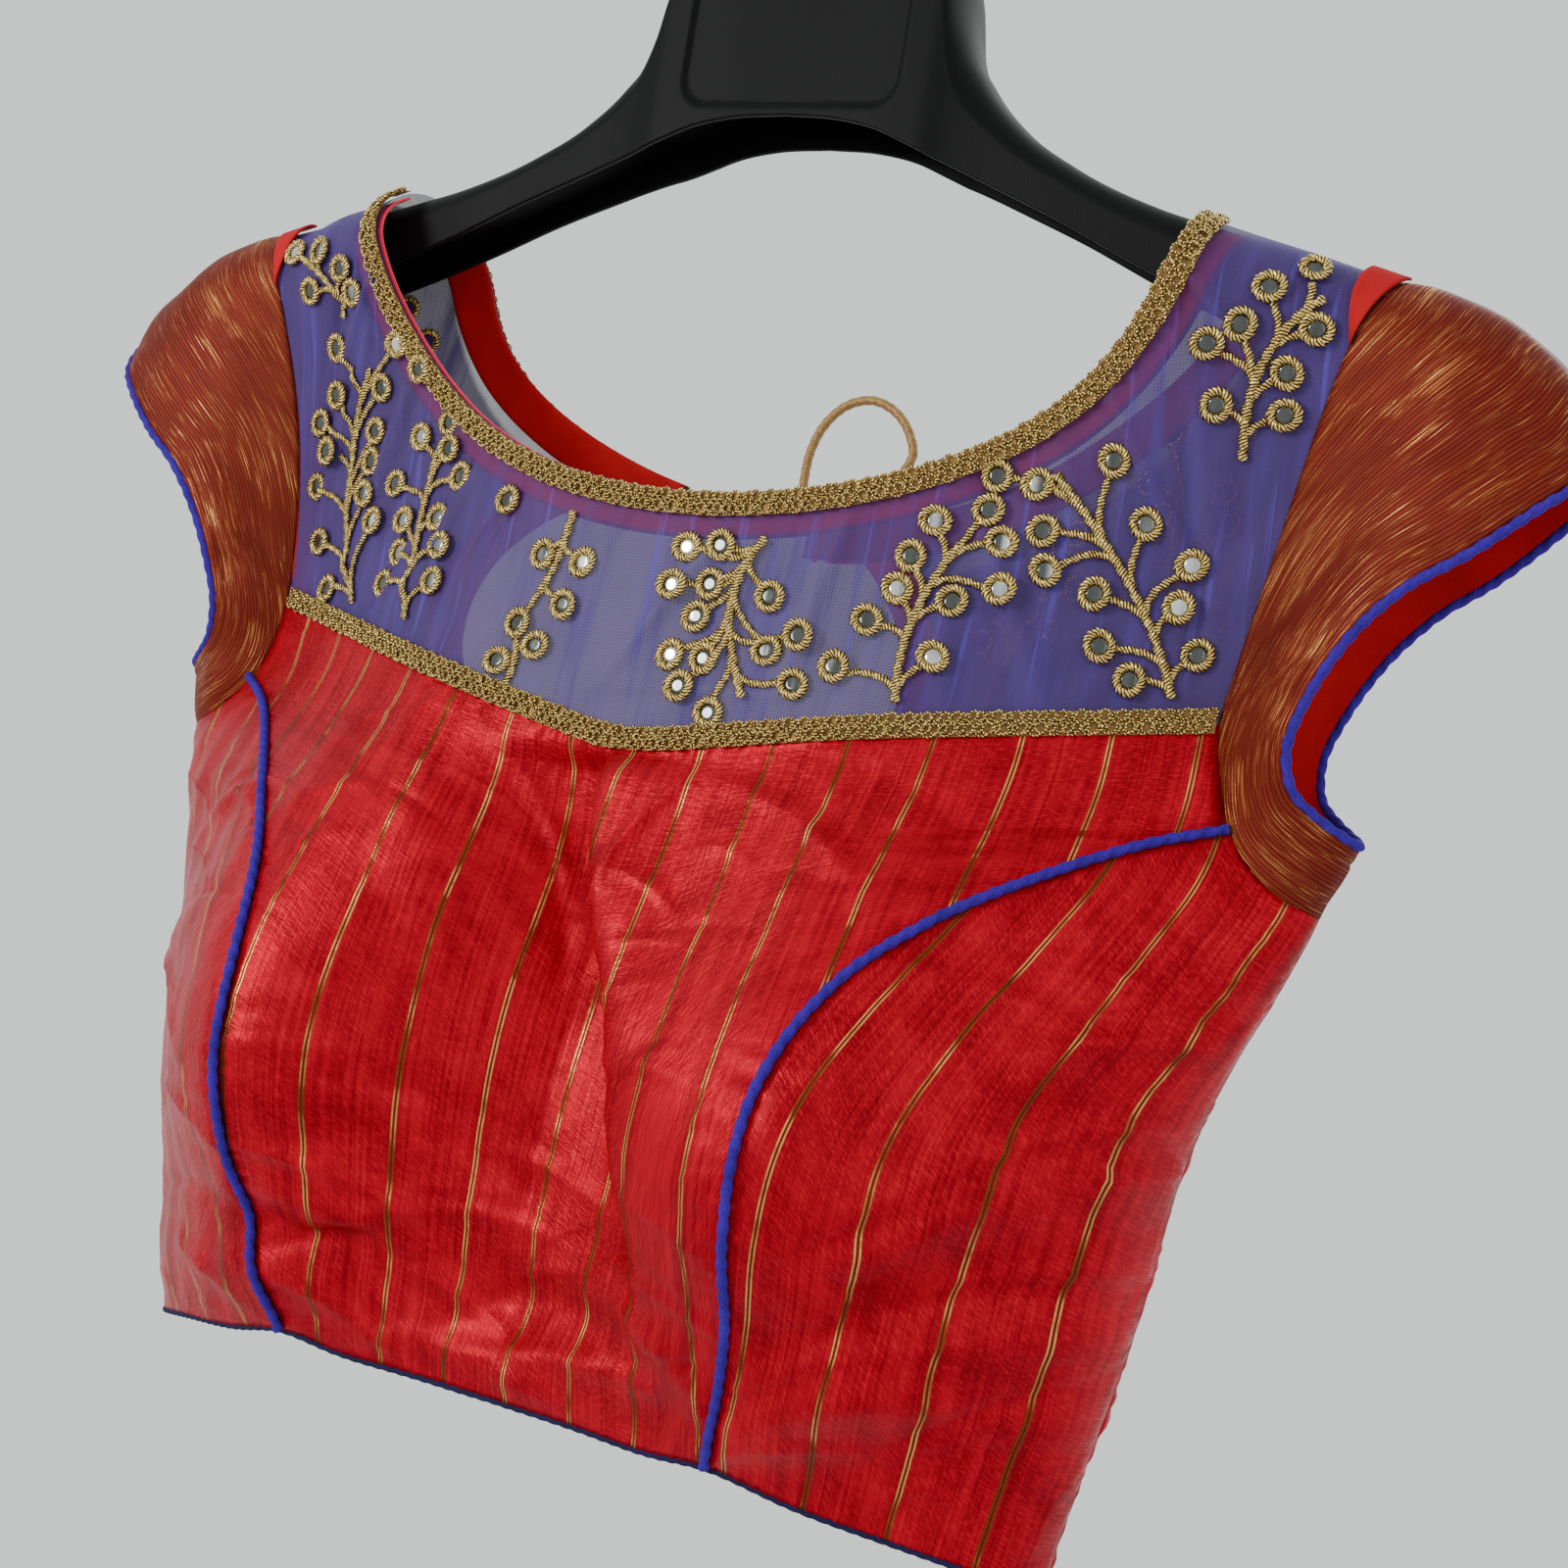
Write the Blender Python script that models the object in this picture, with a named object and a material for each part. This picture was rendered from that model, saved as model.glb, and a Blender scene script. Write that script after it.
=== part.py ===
"""Choli blouse hanging on a moulded hanger, in metres, +Z up.

The origin is the highest point inside the hanger's hook, where a rail carries it.
+X is the wearer's left, -Y is the front of the blouse.
The cloth is one shell, cut into its sewn panels. A place on it is given by x and z,
where z is measured from the shoulder line, and its y is worked out from the sections,
cups and folds below.
"""
import bpy
import bmesh
import numpy as np

# Driving sizes
RIDGE_Z = -0.150
CLOTH = 0.0012
SEAM_GAP = 0.0003
LAY_GAP = 0.00045
NECK_HALF_WIDTH = 0.134
FRONT_NECK_DROP = 0.0946
BACK_NECK_DROP = 0.0860
SHOULDER_FALL = 0.27
SHOULDER_ROUND = 0.025
SHOULDER_WRAP = 0.018
TRIM_WIDTH = 0.0075
TRIM_HEIGHT = 0.0014
FACING_WIDTH = 0.014
FACING = 0.0008
PIPING_RADIUS = 0.0015
HEM_PIPING_RADIUS = 0.0010
PIPING_END = 0.0005
DORI_RADIUS = 0.0015
KEYHOLE = {"x": -0.036, "z": -0.1388, "half_width": 0.0771, "half_height": 0.0581}
KEYHOLE_STEPS = 6
YOKE_CENTRE_Z = -0.169
YOKE_RISE = 0.030
YOKE_CORNER = 0.012
YOKE_HALF_WIDTH = 0.160
TRIM_ABOVE_SEAM = 0.0047
STRIP_WIDTH = 0.009
STRIP_TAPER = (1.0, 0.85, 0.55, 0.12)
UNDERARM_Z = -0.186
CHEST_HALF_WIDTH = 0.193
HEM_HALF_WIDTH = 0.151
PRINCESS_HEM_X = 0.072
NECK_REACH = 0.76
SLEEVE_HALF_DEPTH = 0.024
SLEEVE_CROWN = 0.0095
SLEEVE_FILL = 0.003
SIDES = ((1, "l"), (-1, "r"))

# Turns of the armhole where the yoke seam and the curved seam meet it
YOKE_TURN = 0.665
PRINCESS_TURN = 0.825

SECTION_COLUMNS = ("z", "half_width", "mid_y", "front_depth", "back_depth")
SECTIONS = (
    (-0.390, 0.1500, -0.0152, 0.0440, 0.0480),
    (-0.363, 0.1535, -0.0146, 0.0450, 0.0480),
    (-0.340, 0.1575, -0.0135, 0.0455, 0.0480),
    (-0.315, 0.1620, -0.0115, 0.0465, 0.0470),
    (-0.290, 0.1655, -0.0100, 0.0480, 0.0470),
    (-0.250, 0.1710, -0.0080, 0.0490, 0.0480),
    (-0.226, 0.1785, -0.0060, 0.0490, 0.0495),
    (-0.203, 0.1875, -0.0045, 0.0480, 0.0510),
    (-0.186, 0.1930, -0.0035, 0.0470, 0.0525),
    (-0.140, 0.1930, -0.0012, 0.0450, 0.0505),
    (-0.095, 0.1930, 0.0000, 0.0428, 0.0480),
    (0.040, 0.1930, 0.0000, 0.0428, 0.0440),
)

# Half of the front's curved seam, from the armhole to the hem
PRINCESS_COLUMNS = ("step", "x", "z")
PRINCESS = (
    (0.00, 0.1680, -0.1670),
    (0.12, 0.1485, -0.1755),
    (0.24, 0.1275, -0.1890),
    (0.36, 0.1090, -0.2040),
    (0.46, 0.0950, -0.2205),
    (0.58, 0.0850, -0.2470),
    (0.72, 0.0825, -0.2870),
    (0.85, 0.0805, -0.3150),
    (1.00, 0.0720, -0.3548),
)

# The sleeve's sewn edge and its hem, from the shoulder line round to the underarm
SLEEVE_COLUMNS = ("turn", "seam_x", "seam_z", "hem_x", "hem_z")
SLEEVE = (
    (0.00, 0.1900, -0.0151, 0.2450, -0.0550),
    (0.10, 0.1835, -0.0270, 0.2420, -0.0660),
    (0.20, 0.1780, -0.0430, 0.2340, -0.0745),
    (0.32, 0.1720, -0.0660, 0.2200, -0.0875),
    (0.45, 0.1660, -0.0960, 0.2045, -0.0995),
    (0.57, 0.1612, -0.1260, 0.1925, -0.1145),
    (0.665, 0.1600, -0.1390, 0.1850, -0.1295),
    (0.75, 0.1625, -0.1530, 0.1812, -0.1430),
    (0.825, 0.1680, -0.1670, 0.1830, -0.1535),
    (0.92, 0.1810, -0.1805, 0.1905, -0.1610),
    (1.00, 0.1930, -0.1860, 0.2000, -0.1665),
)

# The steep fold beside the centre front: where it runs and how far it steps out
FOLD_COLUMNS = ("z", "x", "step")
CENTRE_FOLD = (
    (-0.345, 0.053, 0.000),
    (-0.318, 0.048, 0.002),
    (-0.300, 0.044, 0.006),
    (-0.280, 0.037, 0.011),
    (-0.260, 0.030, 0.014),
    (-0.245, 0.024, 0.015),
    (-0.225, 0.012, 0.015),
    (-0.202, 0.001, 0.013),
    (-0.188, -0.003, 0.010),
    (-0.176, -0.003, 0.006),
    (-0.168, -0.002, 0.000),
)
FOLD_WIDTH = 0.0035
FOLD_REACH = 0.030

# Soft folds on the front: middle, direction in degrees, half length, half width, height
SOFT_FOLD_COLUMNS = ("x", "z", "turn", "length", "width", "height")
FRONT_FOLDS = (
    (-0.095, -0.342, 12, 0.050, 0.0120, 0.0060),
    (-0.060, -0.322, -8, 0.045, 0.0090, -0.0035),
    (0.030, -0.340, 20, 0.045, 0.0110, 0.0040),
    (0.105, -0.330, 32, 0.045, 0.0110, 0.0045),
    (0.125, -0.292, 25, 0.035, 0.0100, -0.0030),
    (0.145, -0.235, -35, 0.035, 0.0100, 0.0030),
    (-0.140, -0.250, 40, 0.035, 0.0100, 0.0030),
    (-0.050, -0.205, -62, 0.040, 0.0100, 0.0030),
)
BACK_FOLDS = (
    (-0.080, -0.330, 14, 0.050, 0.0120, 0.0040),
    (0.070, -0.325, -18, 0.050, 0.0120, 0.0040),
    (0.110, -0.270, 28, 0.045, 0.0110, 0.0030),
    (-0.110, -0.262, -30, 0.045, 0.0110, 0.0030),
)

HANGER_COLUMNS = ("x", "low", "top", "half_depth")
HANGER = (
    (0.0000, 0.0240, 0.0800, 0.0170),
    (0.0180, 0.0230, 0.0800, 0.0170),
    (0.0320, 0.0200, 0.0800, 0.0170),
    (0.0400, 0.0168, 0.0790, 0.0169),
    (0.0460, 0.0143, 0.0745, 0.0166),
    (0.0490, 0.0130, 0.0600, 0.0160),
    (0.0530, 0.0115, 0.0485, 0.0152),
    (0.0600, 0.0088, 0.0380, 0.0144),
    (0.0730, 0.0035, 0.0250, 0.0136),
    (0.0900, -0.0035, 0.0145, 0.0130),
    (0.1170, -0.0160, 0.0034, 0.0125),
    (0.1340, -0.0232, -0.0013, 0.0123),
    (0.1600, -0.0330, -0.0083, 0.0121),
    (0.1840, -0.0400, -0.0148, 0.0118),
    (0.1940, -0.0420, -0.0195, 0.0112),
    (0.2050, -0.0440, -0.0236, 0.0100),
    (0.2140, -0.0440, -0.0276, 0.0086),
    (0.2195, -0.0420, -0.0315, 0.0062),
    (0.2215, -0.0400, -0.0345, 0.0045),
)
HANGER_LIP = 0.0035
HANGER_CHANNEL = 0.0070
HANGER_CROWN = 0.0150
RECESS = {"half_width": 0.037, "low": 0.0265, "high": 0.073, "radius": 0.009, "depth": 0.0012}
HOOK_RADIUS = 0.0022
HOOK_BEND = 0.0222

# The cord loop sewn to the back neck's corner: x, y, z of the points it passes
DORI_POINTS = (
    (-0.0065, 0.0520, -0.0905),
    (-0.0078, 0.0520, -0.0830),
    (-0.0086, 0.0520, -0.0730),
    (-0.0080, 0.0520, -0.0645),
    (-0.0040, 0.0520, -0.0545),
    (0.0030, 0.0520, -0.0480),
    (0.0117, 0.0520, -0.0460),
    (0.0200, 0.0520, -0.0490),
    (0.0268, 0.0520, -0.0567),
    (0.0287, 0.0520, -0.0625),
    (0.0262, 0.0520, -0.0685),
    (0.0205, 0.0520, -0.0760),
    (0.0140, 0.0520, -0.0835),
    (0.0100, 0.0520, -0.0905),
)

COLOURS = {
    "silk": ((0.52, 0.008, 0.014, 1.0), 0.42, 0.0),
    "net": ((0.09, 0.06, 0.30, 1.0), 0.60, 0.0),
    "tissue": ((0.25, 0.035, 0.015, 1.0), 0.35, 0.4),
    "lining": ((0.50, 0.010, 0.012, 1.0), 0.75, 0.0),
    "gold": ((0.55, 0.36, 0.10, 1.0), 0.40, 0.8),
    "blue": ((0.02, 0.012, 0.50, 1.0), 0.60, 0.0),
    "plastic": ((0.016, 0.016, 0.018, 1.0), 0.45, 0.0),
    "steel": ((0.60, 0.60, 0.62, 1.0), 0.25, 1.0),
}


def ease(t):
    """0 to 1 with a soft start and end."""
    t = np.clip(t, 0.0, 1.0)
    return t * t * (3.0 - 2.0 * t)


def read(table, columns, wanted, at):
    """Smooth reading of one named column of a table at values of its first column."""
    rows = np.array(table)
    rows = rows[np.argsort(rows[:, 0])]
    keys = rows[:, 0]
    values = rows[:, columns.index(wanted)]
    slopes = np.gradient(values, keys)
    at = np.clip(np.asarray(at, float), keys[0], keys[-1])
    i = np.clip(np.searchsorted(keys, at) - 1, 0, len(keys) - 2)
    step = keys[i + 1] - keys[i]
    t = (at - keys[i]) / step
    start = (1.0 + 2.0 * t) * (1.0 - t) ** 2 * values[i] + t * (1.0 - t) ** 2 * step * slopes[i]
    end = t * t * (3.0 - 2.0 * t) * values[i + 1] + t * t * (t - 1.0) * step * slopes[i + 1]
    return start + end


def ridge(x):
    """Height of the shoulder line."""
    return -SHOULDER_FALL * (np.abs(x) - NECK_HALF_WIDTH)


def cups(x, z):
    """How far the two cups stand out from the plain front."""
    side = np.abs(x) - 0.085
    across = np.where(side < 0.0, side / 0.036, side / 0.044)
    along = np.where(z > -0.268, (z + 0.268) / 0.058, (z + 0.268) / 0.050)
    return 0.050 * np.exp(-0.5 * (across ** 2 + along ** 2))


def centre_fold(x, z):
    """The step where the wearer's left cup folds over beside the centre."""
    away = x - read(CENTRE_FOLD, FOLD_COLUMNS, "x", z)
    step = read(CENTRE_FOLD, FOLD_COLUMNS, "step", z)
    step = step * ease((z + 0.345) / 0.02) * ease((-0.169 - z) / 0.01)
    rise = away / np.sqrt(away ** 2 + FOLD_WIDTH ** 2)
    return step * rise * np.exp(-(away / FOLD_REACH) ** 2)


def soft_folds(x, z, rows):
    """Long soft ridges and troughs, each a rounded bar laid at an angle."""
    total = np.zeros_like(x)
    for row in rows:
        fold = dict(zip(SOFT_FOLD_COLUMNS, row))
        turn = np.radians(fold["turn"])
        dx = x - fold["x"]
        dz = z - fold["z"]
        along = dx * np.cos(turn) + dz * np.sin(turn)
        across = dz * np.cos(turn) - dx * np.sin(turn)
        total += fold["height"] * np.exp(-(along / fold["length"]) ** 2 - (across / fold["width"]) ** 2)
    return total


def shell(s, q, face):
    """Points of the cloth's middle surface.

    s goes from -1 at the right side seam to 1 at the left one. q is 0 on the shoulder line,
    a quarter turn where the cloth has rounded over the hanger, and then runs straight down.
    face is -1 for the front and 1 for the back.
    """
    sine = np.sin(0.5 * np.pi * s)
    drop = np.where(q < 0.5 * np.pi, 1.0 - np.cos(q), 1.0 + q - 0.5 * np.pi) * SHOULDER_ROUND
    over = np.where(q < 0.5 * np.pi, np.sin(q), 1.0)
    z = ridge(CHEST_HALF_WIDTH * sine) - drop
    x = read(SECTIONS, SECTION_COLUMNS, "half_width", z) * sine
    cosine = np.cos(0.5 * np.pi * s)
    flat = ease((z + 0.205) / 0.05)
    bow = cosine * (1.0 - flat + flat * np.abs(cosine) ** 2.1)
    wrap = SHOULDER_WRAP * np.exp(-(drop / 0.060) ** 2) * ease((np.abs(x) - 0.085) / 0.05)
    column = "front_depth" if face < 0 else "back_depth"
    depth = read(SECTIONS, SECTION_COLUMNS, column, z) * bow + wrap
    edge = ease(np.abs(cosine) / 0.35) * np.sign(cosine)
    if face < 0:
        depth = depth + edge * (cups(x, z) + centre_fold(x, z) + soft_folds(x, z, FRONT_FOLDS))
    else:
        depth = depth + edge * soft_folds(x, z, BACK_FOLDS)
    y = read(SECTIONS, SECTION_COLUMNS, "mid_y", z) + face * over * depth
    return np.stack([x, y, z], axis=-1)


def place(x, z):
    """The shell's s and q for places given by x and z."""
    x = np.asarray(x, float)
    z = np.asarray(z, float)
    half_width = read(SECTIONS, SECTION_COLUMNS, "half_width", z)
    sine = np.clip(x / half_width, -1.0, 1.0)
    s = np.arcsin(sine) / (0.5 * np.pi)
    drop = np.maximum(ridge(CHEST_HALF_WIDTH * sine) - z, 0.0) / SHOULDER_ROUND
    q = np.where(drop < 1.0, np.arccos(np.clip(1.0 - drop, -1.0, 1.0)), drop - 1.0 + 0.5 * np.pi)
    return s, q


def shell_frame(s, q, face):
    """Points and outward normals of the shell."""
    tiny = 1e-4
    along = shell(s + tiny, q, face) - shell(s - tiny, q, face)
    down = shell(s, q + tiny, face) - shell(s, q - tiny, face)
    normal = face * np.cross(along, down)
    normal /= np.linalg.norm(normal, axis=-1, keepdims=True)
    return shell(s, q, face), normal


def coons(top, bottom, left, right, across, down):
    """A four-sided panel's grid of s and q, filled in between its four edges.

    top and bottom are rows of places. left and right are curves read at down, which has
    the rows' heights for each column: 0 on the top edge and 1 on the bottom edge.
    """
    top = np.stack(place(*top), axis=-1)[:, None, :]
    bottom = np.stack(place(*bottom), axis=-1)[:, None, :]
    u = np.asarray(across)[:, None, None]
    v = np.asarray(down)[..., None]
    ruled = (1.0 - v) * top + v * bottom
    first = np.stack(place(*left(down)), axis=-1) - ((1.0 - v) * top[:1] + v * bottom[:1])
    last = np.stack(place(*right(down)), axis=-1) - ((1.0 - v) * top[-1:] + v * bottom[-1:])
    grid = ruled + (1.0 - u) * first + u * last
    return grid[..., 0], grid[..., 1]


def heights(top, bottom, face, near_top, near_bottom, between):
    """Row heights for each column, with rows at set distances from the top and bottom edges."""
    length = np.linalg.norm(shell(*place(*top), face) - shell(*place(*bottom), face), axis=-1)[:, None]
    start = np.concatenate([np.zeros_like(length)] + [distance / length for distance in near_top], axis=1)
    if near_bottom is None:
        end = np.ones_like(length)
    else:
        end = np.concatenate([1.0 - near_bottom[:, None] / length, np.ones_like(length)], axis=1)
    steps = np.arange(1, between) / between
    middle = start[:, -1:] + (end[:, :1] - start[:, -1:]) * steps[None, :]
    return np.concatenate([start, middle, end], axis=1)


def pull_in(points, edges):
    """Moves a grid's edges inwards by half a seam gap. edges names the sides that are sewn."""
    points = points.copy()
    half = 0.5 * SEAM_GAP
    sides = {"first": (0, 1, 0), "last": (-1, -2, 0), "top": (0, 1, 1), "bottom": (-1, -2, 1)}
    for edge in edges:
        end, inner, axis = sides[edge]
        border = np.take(points, end, axis)
        towards = np.take(points, inner, axis) - border
        border = border + half * towards / np.linalg.norm(towards, axis=-1, keepdims=True)
        if axis == 0:
            points[end] = border
        else:
            points[:, end] = border
    return points


def material(name):
    """A Principled material with the named colour, roughness and metallic value."""
    if name in bpy.data.materials:
        return bpy.data.materials[name]
    colour, roughness, metallic = COLOURS[name]
    made = bpy.data.materials.new(name)
    made.use_nodes = True
    shader = made.node_tree.nodes["Principled BSDF"]
    shader.inputs["Base Color"].default_value = colour
    shader.inputs["Roughness"].default_value = roughness
    shader.inputs["Metallic"].default_value = metallic
    made.diffuse_color = colour
    return made


def add_mesh(name, points, faces, material_name):
    """One closed object, with its faces turned outwards and set down from the shoulder line."""
    mesh = bpy.data.meshes.new(name)
    placed = np.asarray(points).reshape(-1, 3) + np.array([0.0, 0.0, RIDGE_Z])
    mesh.from_pydata(placed.tolist(), [], [tuple(int(i) for i in face) for face in faces])
    work = bmesh.new()
    work.from_mesh(mesh)
    bmesh.ops.recalc_face_normals(work, faces=work.faces)
    if work.calc_volume(signed=True) < 0.0:
        bmesh.ops.reverse_faces(work, faces=work.faces)
    work.to_mesh(mesh)
    work.free()
    mesh.shade_smooth()
    mesh.set_sharp_from_angle(angle=0.8)
    mesh.materials.append(material(material_name))
    made = bpy.data.objects.new(name, mesh)
    bpy.context.scene.collection.objects.link(made)
    return made


def add_wall(name, low, high, material_name, ring=False):
    """A wall between two grids of points. A ring's first index closes on itself."""
    across, down = low.shape[:2]
    size = across * down

    def index(layer, i, j):
        return layer * size + (i % across) * down + j

    faces = []
    for i in range(across if ring else across - 1):
        for j in range(down - 1):
            faces.append((index(0, i, j), index(0, i + 1, j), index(0, i + 1, j + 1), index(0, i, j + 1)))
            faces.append((index(1, i, j), index(1, i, j + 1), index(1, i + 1, j + 1), index(1, i + 1, j)))
        for j in (0, down - 1):
            faces.append((index(0, i, j), index(1, i, j), index(1, i + 1, j), index(0, i + 1, j)))
    if not ring:
        for i in (0, across - 1):
            for j in range(down - 1):
                faces.append((index(0, i, j), index(0, i, j + 1), index(1, i, j + 1), index(1, i, j)))
    return add_mesh(name, np.concatenate([low.reshape(-1, 3), high.reshape(-1, 3)]), faces, material_name)


def add_tube(name, path, radius, sides, material_name, closed=False, lean=0.31):
    """A round cord along a path of points. lean turns its rings, so that they never lie along it."""
    if closed:
        along = np.roll(path, -1, 0) - np.roll(path, 1, 0)
    else:
        along = np.gradient(path, axis=0)
    along /= np.linalg.norm(along, axis=1, keepdims=True)
    aside = np.cross(along, np.array([lean, 0.89, 0.33]))
    aside /= np.linalg.norm(aside, axis=1, keepdims=True)
    third = np.cross(along, aside)
    angles = 2.0 * np.pi * np.arange(sides) / sides
    rings = path[:, None, :] + radius * (np.cos(angles)[None, :, None] * aside[:, None, :]
                                         + np.sin(angles)[None, :, None] * third[:, None, :])
    count = len(path)
    faces = []
    for i in range(count if closed else count - 1):
        for j in range(sides):
            a = i * sides
            b = ((i + 1) % count) * sides
            k = (j + 1) % sides
            faces.append((a + j, a + k, b + k, b + j))
    if not closed:
        faces.append(tuple(range(sides)))
        faces.append(tuple((count - 1) * sides + j for j in range(sides)))
    return add_mesh(name, rings, faces, material_name)


def neck_edge(angle, drop, out=0.0):
    """The neck's outline, moved out into the cloth by a distance. angle runs from one side to the other."""
    x = -(NECK_HALF_WIDTH + out) * np.cos(angle)
    sine = np.abs(np.sin(angle))
    return x, ridge(x) * (1.0 - sine) ** 3 - (drop + out) * sine


def armhole(turn, side):
    """The armhole's outline, from the shoulder line to the underarm."""
    x = read(SLEEVE, SLEEVE_COLUMNS, "seam_x", turn)
    return side * x, read(SLEEVE, SLEEVE_COLUMNS, "seam_z", turn)


def yoke_seam(x):
    """Height of the seam between the net yoke and the silk."""
    away = np.sqrt(x ** 2 + YOKE_CORNER ** 2) - YOKE_CORNER
    return YOKE_CENTRE_Z + YOKE_RISE * (away / (YOKE_HALF_WIDTH - YOKE_CORNER)) ** 0.97


def hem_line(x):
    """Height of the hem: lower at the sides, lifted a little at the curved seams."""
    lift = 0.0035 * np.exp(-((np.abs(x) - 0.073) / 0.016) ** 2)
    return -0.3565 + lift - 0.0165 * (np.abs(x) / 0.151) ** 3


def princess(step, side):
    """The curved front seam, from the armhole to the hem."""
    x = read(PRINCESS, PRINCESS_COLUMNS, "x", step)
    return side * x, read(PRINCESS, PRINCESS_COLUMNS, "z", step)


def keyhole_edge(angle, side, out=0.0):
    """The back opening's outline. angle is 0 at its top and half a turn at its bottom."""
    x = KEYHOLE["x"] + side * (KEYHOLE["half_width"] + out) * np.sin(angle)
    return x, KEYHOLE["z"] + (KEYHOLE["half_height"] + out) * np.cos(angle)


def keyhole_angles(side):
    """Where the back opening's outline meets the neck and the yoke seam."""
    angles = np.linspace(0.05, 3.0, 600)
    x, z = keyhole_edge(angles, side)
    neck_z = -BACK_NECK_DROP * np.sqrt(np.clip(1.0 - (x / NECK_HALF_WIDTH) ** 2, 0.0, 1.0))
    return angles[np.argmax(z < neck_z)], angles[np.argmax(z < yoke_seam(x))]


def two_part(at, split, first, second):
    """One curve made of two, that meet where at equals split."""
    at = np.asarray(at)
    x_first, z_first = first(np.clip(at / split, 0.0, 1.0))
    x_second, z_second = second(np.clip((at - split) / (1.0 - split), 0.0, 1.0))
    return np.where(at < split, x_first, x_second), np.where(at < split, z_first, z_second)


def side_seam(v, side):
    """The side seam, from the underarm to the hem."""
    z = UNDERARM_Z + v * (hem_line(HEM_HALF_WIDTH) - UNDERARM_Z)
    return side * read(SECTIONS, SECTION_COLUMNS, "half_width", z), z


# Places along the shared seams, which every panel and band that meets there uses
SIDE_STEPS = np.linspace(0.0, 1.0, 13)
FRONT_SPLIT = 0.13
FRONT_ROWS = np.concatenate([[0.0, 0.015, 0.07], FRONT_SPLIT + (1.0 - FRONT_SPLIT) * SIDE_STEPS])
FOLD_STEPS = np.array([0.0, 0.008, 0.019, 0.036, 0.065])
SEAM_STEPS = np.concatenate([np.linspace(0.0, 0.435, 8)[:-1], 0.5 - FOLD_STEPS[:0:-1], 0.5 + FOLD_STEPS,
                             np.linspace(0.565, 1.0, 8)[1:]])
YOKE_TURNS = np.array([0.0, 0.012, 0.035, 0.07, 0.12, 0.20, 0.30, 0.42, 0.54, YOKE_TURN])
MIDDLE_TURNS = YOKE_TURN + (PRINCESS_TURN - YOKE_TURN) * FRONT_ROWS[:4] / FRONT_SPLIT
LOW_TURNS = PRINCESS_TURN + (1.0 - PRINCESS_TURN) * np.array([0.0, 0.24, 0.48, 0.72, 0.90, 1.0])
HALF_TURNS = np.concatenate([YOKE_TURNS[:-1], MIDDLE_TURNS[:-1], LOW_TURNS])
RING_TURNS = np.concatenate([HALF_TURNS, 2.0 - HALF_TURNS[-2:0:-1]])
BACK_STEPS = np.concatenate([[0.0, 0.09], np.linspace(0.09, 1.0, 7)[1:]])


def along_fold(s, q, across, steps):
    """Slides a front grid's columns sideways in each row, so that the middle one runs in the fold."""
    slid = np.empty((2, len(steps), s.shape[1]))
    for row in range(s.shape[1]):
        x, _, z = np.moveaxis(shell(s[:, row], q[:, row], -1), -1, 0)
        away = x - read(CENTRE_FOLD, FOLD_COLUMNS, "x", z)
        middle = 0.5 if row == 0 else np.interp(0.0, away, across)
        at = np.where(steps < 0.5, 2.0 * middle * steps, 1.0 - 2.0 * (1.0 - middle) * (1.0 - steps))
        slid[0, :, row] = np.interp(at, across, s[:, row])
        slid[1, :, row] = np.interp(at, across, q[:, row])
    return slid[0], slid[1]


def add_panel(name, s, q, face, edges, material_name):
    """A cloth panel of the shell, drawn in at its sewn edges. Returns its points and normals."""
    points, normals = shell_frame(s, q, face)
    drawn = pull_in(points, edges)
    add_wall(name, drawn - 0.5 * CLOTH * normals, drawn + 0.5 * CLOTH * normals, material_name)
    return points, normals


def add_band(name, surface, thickness, outside, material_name):
    """A band made from a panel's points, moved out onto its face or in onto its back."""
    points, normals = surface
    clear = 0.5 * CLOTH + LAY_GAP
    low, high = (clear, clear + thickness) if outside else (-clear - thickness, -clear)
    add_wall(name, points + low * normals, points + high * normals, material_name)


def part_of(surface, columns, rows):
    """The stretch of a panel's grid between two columns and two rows."""
    return tuple(grid[columns, rows] for grid in surface)


def join_rows(first, second):
    """Two stretches that share a seam, with the second below the first."""
    return tuple(np.concatenate([a, b[:, 1:]], axis=1) for a, b in zip(first, second))


def add_front():
    """The front: a centre panel between the curved seams, and a panel at each side."""
    surfaces = {}
    fine = np.union1d(np.linspace(0.0, 1.0, 201), SEAM_STEPS)
    x = YOKE_HALF_WIDTH * (2.0 * fine - 1.0)
    top = (x, yoke_seam(x))
    x = PRINCESS_HEM_X * (2.0 * fine - 1.0)
    bottom = (x, hem_line(x))

    def edge(side):
        def curve(v):
            return two_part(v, FRONT_SPLIT,
                            lambda t: armhole(YOKE_TURN + t * (PRINCESS_TURN - YOKE_TURN), side),
                            lambda t: princess(t, side))
        return curve

    down = np.tile(FRONT_ROWS, (len(fine), 1))
    s, q = coons(top, bottom, edge(-1), edge(1), fine, down)
    s, q = along_fold(s, q, fine, SEAM_STEPS)
    surfaces["front_centre"] = add_panel("front_centre", s, q, -1, ("first", "last", "top"), "silk")
    across = np.linspace(0.0, 1.0, len(LOW_TURNS))
    down = np.tile(SIDE_STEPS, (len(LOW_TURNS), 1))
    for side, tail in SIDES:
        x = PRINCESS_HEM_X + across * (HEM_HALF_WIDTH - PRINCESS_HEM_X)
        s, q = coons(armhole(LOW_TURNS, side), (side * x, hem_line(x)),
                     lambda v: princess(v, side), lambda v: side_seam(v, side), across, down)
        name = "front_side_" + tail
        surfaces[name] = add_panel(name, s, q, -1, ("first", "last", "top"), "silk")
    return surfaces


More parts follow.
